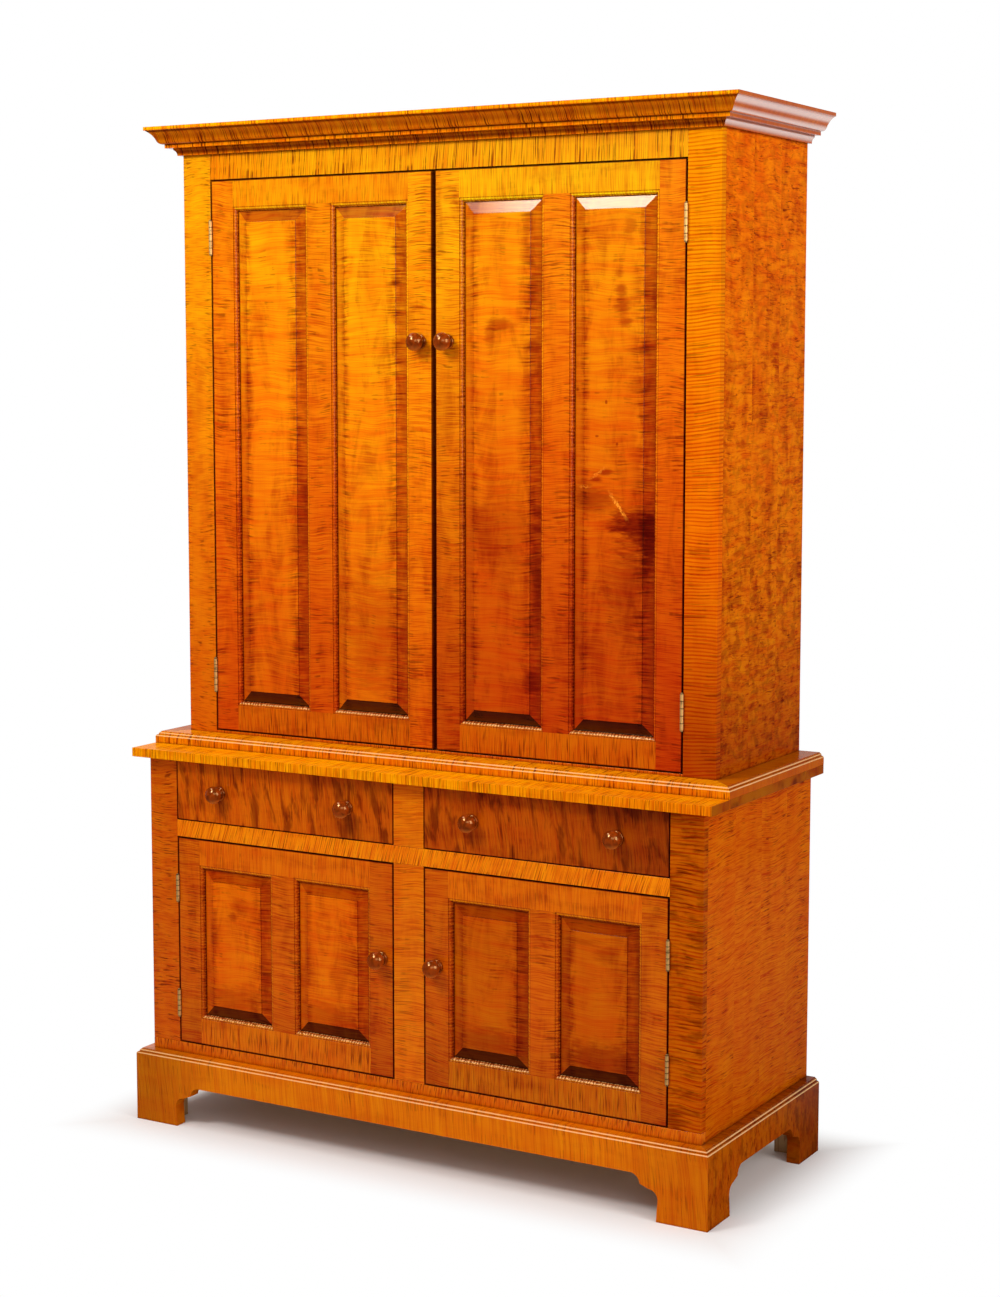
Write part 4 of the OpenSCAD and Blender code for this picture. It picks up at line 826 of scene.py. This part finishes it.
def slotted_head(place, facing, turn):
    """Corners and faces of a slotted screw head that stands in a leaf's face and looks along X."""
    corners, faces = [], []

    def ring(points, height):
        """Turns a flat outline by the slot's angle and stands it off the leaf."""
        x, y, z = place
        cosine, sine = math.cos(turn), math.sin(turn)
        return [(x + facing * height, y + a * cosine - b * sine, z + a * sine + b * cosine)
                for a, b in points]

    def half_disc(radius, half):
        start = math.asin(HALF_SLOT / radius)
        angles = [start + (math.pi - 2 * start) * k / 15 for k in range(16)]
        return [(radius * math.cos(angle), half * radius * math.sin(angle)) for angle in angles]

    def disc(radius):
        return [(radius * math.cos(TURN * k / 24), radius * math.sin(TURN * k / 24)) for k in range(24)]

    def shell(rings):
        """A closed skin from ring to ring."""
        first, count = len(corners), len(rings[0])
        last = first + (len(rings) - 1) * count
        for points in rings:
            corners.extend(points)
        for k in range(len(rings) - 1):
            near = first + k * count
            for i in range(count):
                j = (i + 1) % count
                faces.append((near + i, near + j, near + count + j, near + count + i))
        faces.append(tuple(first + i for i in reversed(range(count))))
        faces.append(tuple(last + i for i in range(count)))

    for half in (-1, 1):
        shell([ring(half_disc(radius * MM, half), height * MM) for radius, height in HEAD_RINGS])
    shell([ring(disc(radius * MM), height * MM) for radius, height in SLOT_RINGS])
    return corners, faces


def add_screws():
    """Three screws in each hinge leaf. They lie in the gap beside the door until it opens."""
    heads = {}
    for hinge in hinges():
        for body, way in ((hinge.door + "_door", -1), ("case", 1)):
            screws = heads.setdefault(body, [])
            face_x = hinge.side * (hinge.pin_x + way * LEAF_FACE)
            for share, back in SCREW_PLACES:
                place = (face_x, hinge.pin_y + back, hinge.middle_z + share * hinge.length)
                turn = 1.1 * len(screws) + hinge.middle_z
                screws.append((place, -way * hinge.side, turn))
    for body, screws in heads.items():
        mesh = bpy.data.meshes.new(body + "_screws")
        corners, faces = [], []
        for screw in screws:
            more_corners, more_faces = slotted_head(*screw)
            faces += [tuple(i + len(corners) for i in face) for face in more_faces]
            corners += more_corners
        mesh.from_pydata(corners, [], faces)
        made = bmesh.new()
        made.from_mesh(mesh)
        bmesh.ops.recalc_face_normals(made, faces=made.faces)
        made.to_mesh(mesh)
        made.free()
        mesh.materials.append(old_brass(body + "_screws", (0.80, 0.55, 0.24), knuckles=False))
        piece = bpy.data.objects.new(body + "_screws", mesh)
        bpy.context.scene.collection.objects.link(piece)
        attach(piece, body)


def weld_and_sharpen():
    """A node group that welds a mesh's faces and shades it smooth up to its sharp edges."""
    group = bpy.data.node_groups.new("clean_mesh", "GeometryNodeTree")
    for in_out in ("INPUT", "OUTPUT"):
        group.interface.new_socket("Geometry", in_out=in_out, socket_type="NodeSocketGeometry")
    add, link = group.nodes.new, group.links.new
    enter = add("NodeGroupInput")
    weld = add("GeometryNodeMergeByDistance")
    weld.inputs["Distance"].default_value = 0.01 * MM
    angle = add("GeometryNodeInputMeshEdgeAngle")
    sharp = add("FunctionNodeCompare")
    sharp.data_type = "FLOAT"
    sharp.operation = "GREATER_THAN"
    sharp.inputs[1].default_value = SHARP
    normals = add("GeometryNodeSetMeshNormal")
    normals.mode = "SHARPNESS"
    leave = add("NodeGroupOutput")
    link(enter.outputs[0], weld.inputs["Geometry"])
    link(weld.outputs[0], normals.inputs["Mesh"])
    link(angle.outputs["Unsigned Angle"], sharp.inputs[0])
    link(sharp.outputs[0], normals.inputs["Edge Sharpness"])
    link(normals.outputs[0], leave.inputs[0])
    return group


def finish_edges():
    """Welds each node's faces, eases its sharp edges and shades its curves smooth."""
    group = weld_and_sharpen()
    for name, node in nodes.items():
        clean = node.modifiers.new("clean", "NODES")
        clean.node_group = group
        if "knob" in name or "leaves" in name or "pins" in name:
            continue
        panel = name.endswith("panels")
        bevel = node.modifiers.new("ease", "BEVEL")
        bevel.width = (0.35 if panel else 0.8) * MM
        bevel.segments = 2
        bevel.limit_method = "ANGLE"
        bevel.angle_limit = PANEL_SHARP if panel else SHARP
        bevel.use_clamp_overlap = True
        bevel.harden_normals = False
        flat = node.modifiers.new("flat", "WEIGHTED_NORMAL")
        flat.keep_sharp = False


def make_camera():
    data = bpy.data.cameras.new("camera")
    data.sensor_fit = "AUTO"
    data.sensor_width = 36
    data.lens = LENS
    data.shift_x, data.shift_y = SHIFT
    camera = bpy.data.objects.new("camera", data)
    bpy.context.scene.collection.objects.link(camera)
    camera.location = CAMERA_PLACE
    camera.rotation_mode = "QUATERNION"
    camera.rotation_quaternion = Vector(CAMERA_AIM).to_track_quat("-Z", "Y")
    bpy.context.scene.camera = camera


def make_world():
    """White for the camera, bright behind the cupboard, and dim in front of it to keep its gloss deep."""
    world = bpy.data.worlds.new("studio")
    bpy.context.scene.world = world
    world.use_nodes = True
    g = Graph(world.node_tree)
    toward = g.add("ShaderNodeTexCoord").outputs["Generated"]
    facing = g.add("ShaderNodeVectorMath", {0: toward, 1: BACKWARD}, operation="DOT_PRODUCT")
    behind = g.ramp(facing.outputs["Value"], 0.4, 0.75)
    from_camera, mirrored = g.rays()
    light = g.plus(g.times(behind, BACKDROP - ROOM), ROOM)
    mirror = g.plus(g.times(behind, 1 - DARK_ROOM), DARK_ROOM)
    strength = g.plus(g.times(mirrored, mirror), g.times(g.minus(1, mirrored), light))
    strength = g.math("MAXIMUM", strength, from_camera)
    sky = g.add("ShaderNodeBackground", {"Color": WHITE, "Strength": strength})
    g.add("ShaderNodeOutputWorld", {"Surface": sky.outputs[0]})


def make_floor():
    """A pale disc that keeps the cupboard's shadow and turns white further out."""
    middle_x, middle_y, radius, count = -0.3, 0.5, 3.2, 96
    angles = [TURN * k / count for k in range(count)]
    ring = [(middle_x + radius * math.cos(angle), middle_y + radius * math.sin(angle), 0)
            for angle in angles]
    mesh = bpy.data.meshes.new("floor")
    mesh.from_pydata(ring, [], [tuple(range(count))])
    floor = bpy.data.objects.new("floor", mesh)
    bpy.context.scene.collection.objects.link(floor)
    g = Material("floor")
    mesh.materials.append(g.mat)
    x, y, _ = g.xyz
    beside = g.minus(g.math("ABSOLUTE", x), HALF_WIDTH)
    before = g.minus(g.math("ABSOLUTE", y), HALF_DEPTH)
    clear = g.ramp(g.math("MAXIMUM", beside, before), -0.05, 0.15)
    from_camera, mirrored = g.rays()
    behind = g.ramp(y, 0.3, 1.2)
    fade = g.times(clear, g.math("MAXIMUM", from_camera, g.times(mirrored, behind)))
    in_front = g.times(mirrored, g.minus(1, behind))
    # Painted shade: seen in gloss in front of the cupboard, the floor is painted dark, which keeps the
    # reflections deep
    pale = g.mix(in_front, (0.86, 0.81, 0.78), (0.06, 0.05, 0.05))
    paint = g.add("ShaderNodeBsdfDiffuse", {"Color": pale})
    glow = g.add("ShaderNodeEmission", {"Color": WHITE, "Strength": 1.0})
    both = g.add("ShaderNodeMixShader", {0: fade, 1: paint.outputs[0], 2: glow.outputs[0]})
    g.add("ShaderNodeOutputMaterial", {"Surface": both.outputs[0]})


def soft_box(name, place, target, size, watts):
    data = bpy.data.lights.new(name, "AREA")
    data.shape = "RECTANGLE"
    data.size, data.size_y = size
    data.energy = watts
    lamp = bpy.data.objects.new(name, data)
    bpy.context.scene.collection.objects.link(lamp)
    lamp.location = place
    lamp.rotation_mode = "QUATERNION"
    lamp.rotation_quaternion = (Vector(target) - Vector(place)).to_track_quat("-Z", "Y")


bpy.context.scene.view_settings.view_transform = "Standard"
make_camera()
make_world()
make_floor()
for lamp_name, settings in SOFT_BOXES.items():
    soft_box(lamp_name, *settings)
dress()
add_screws()
finish_edges()
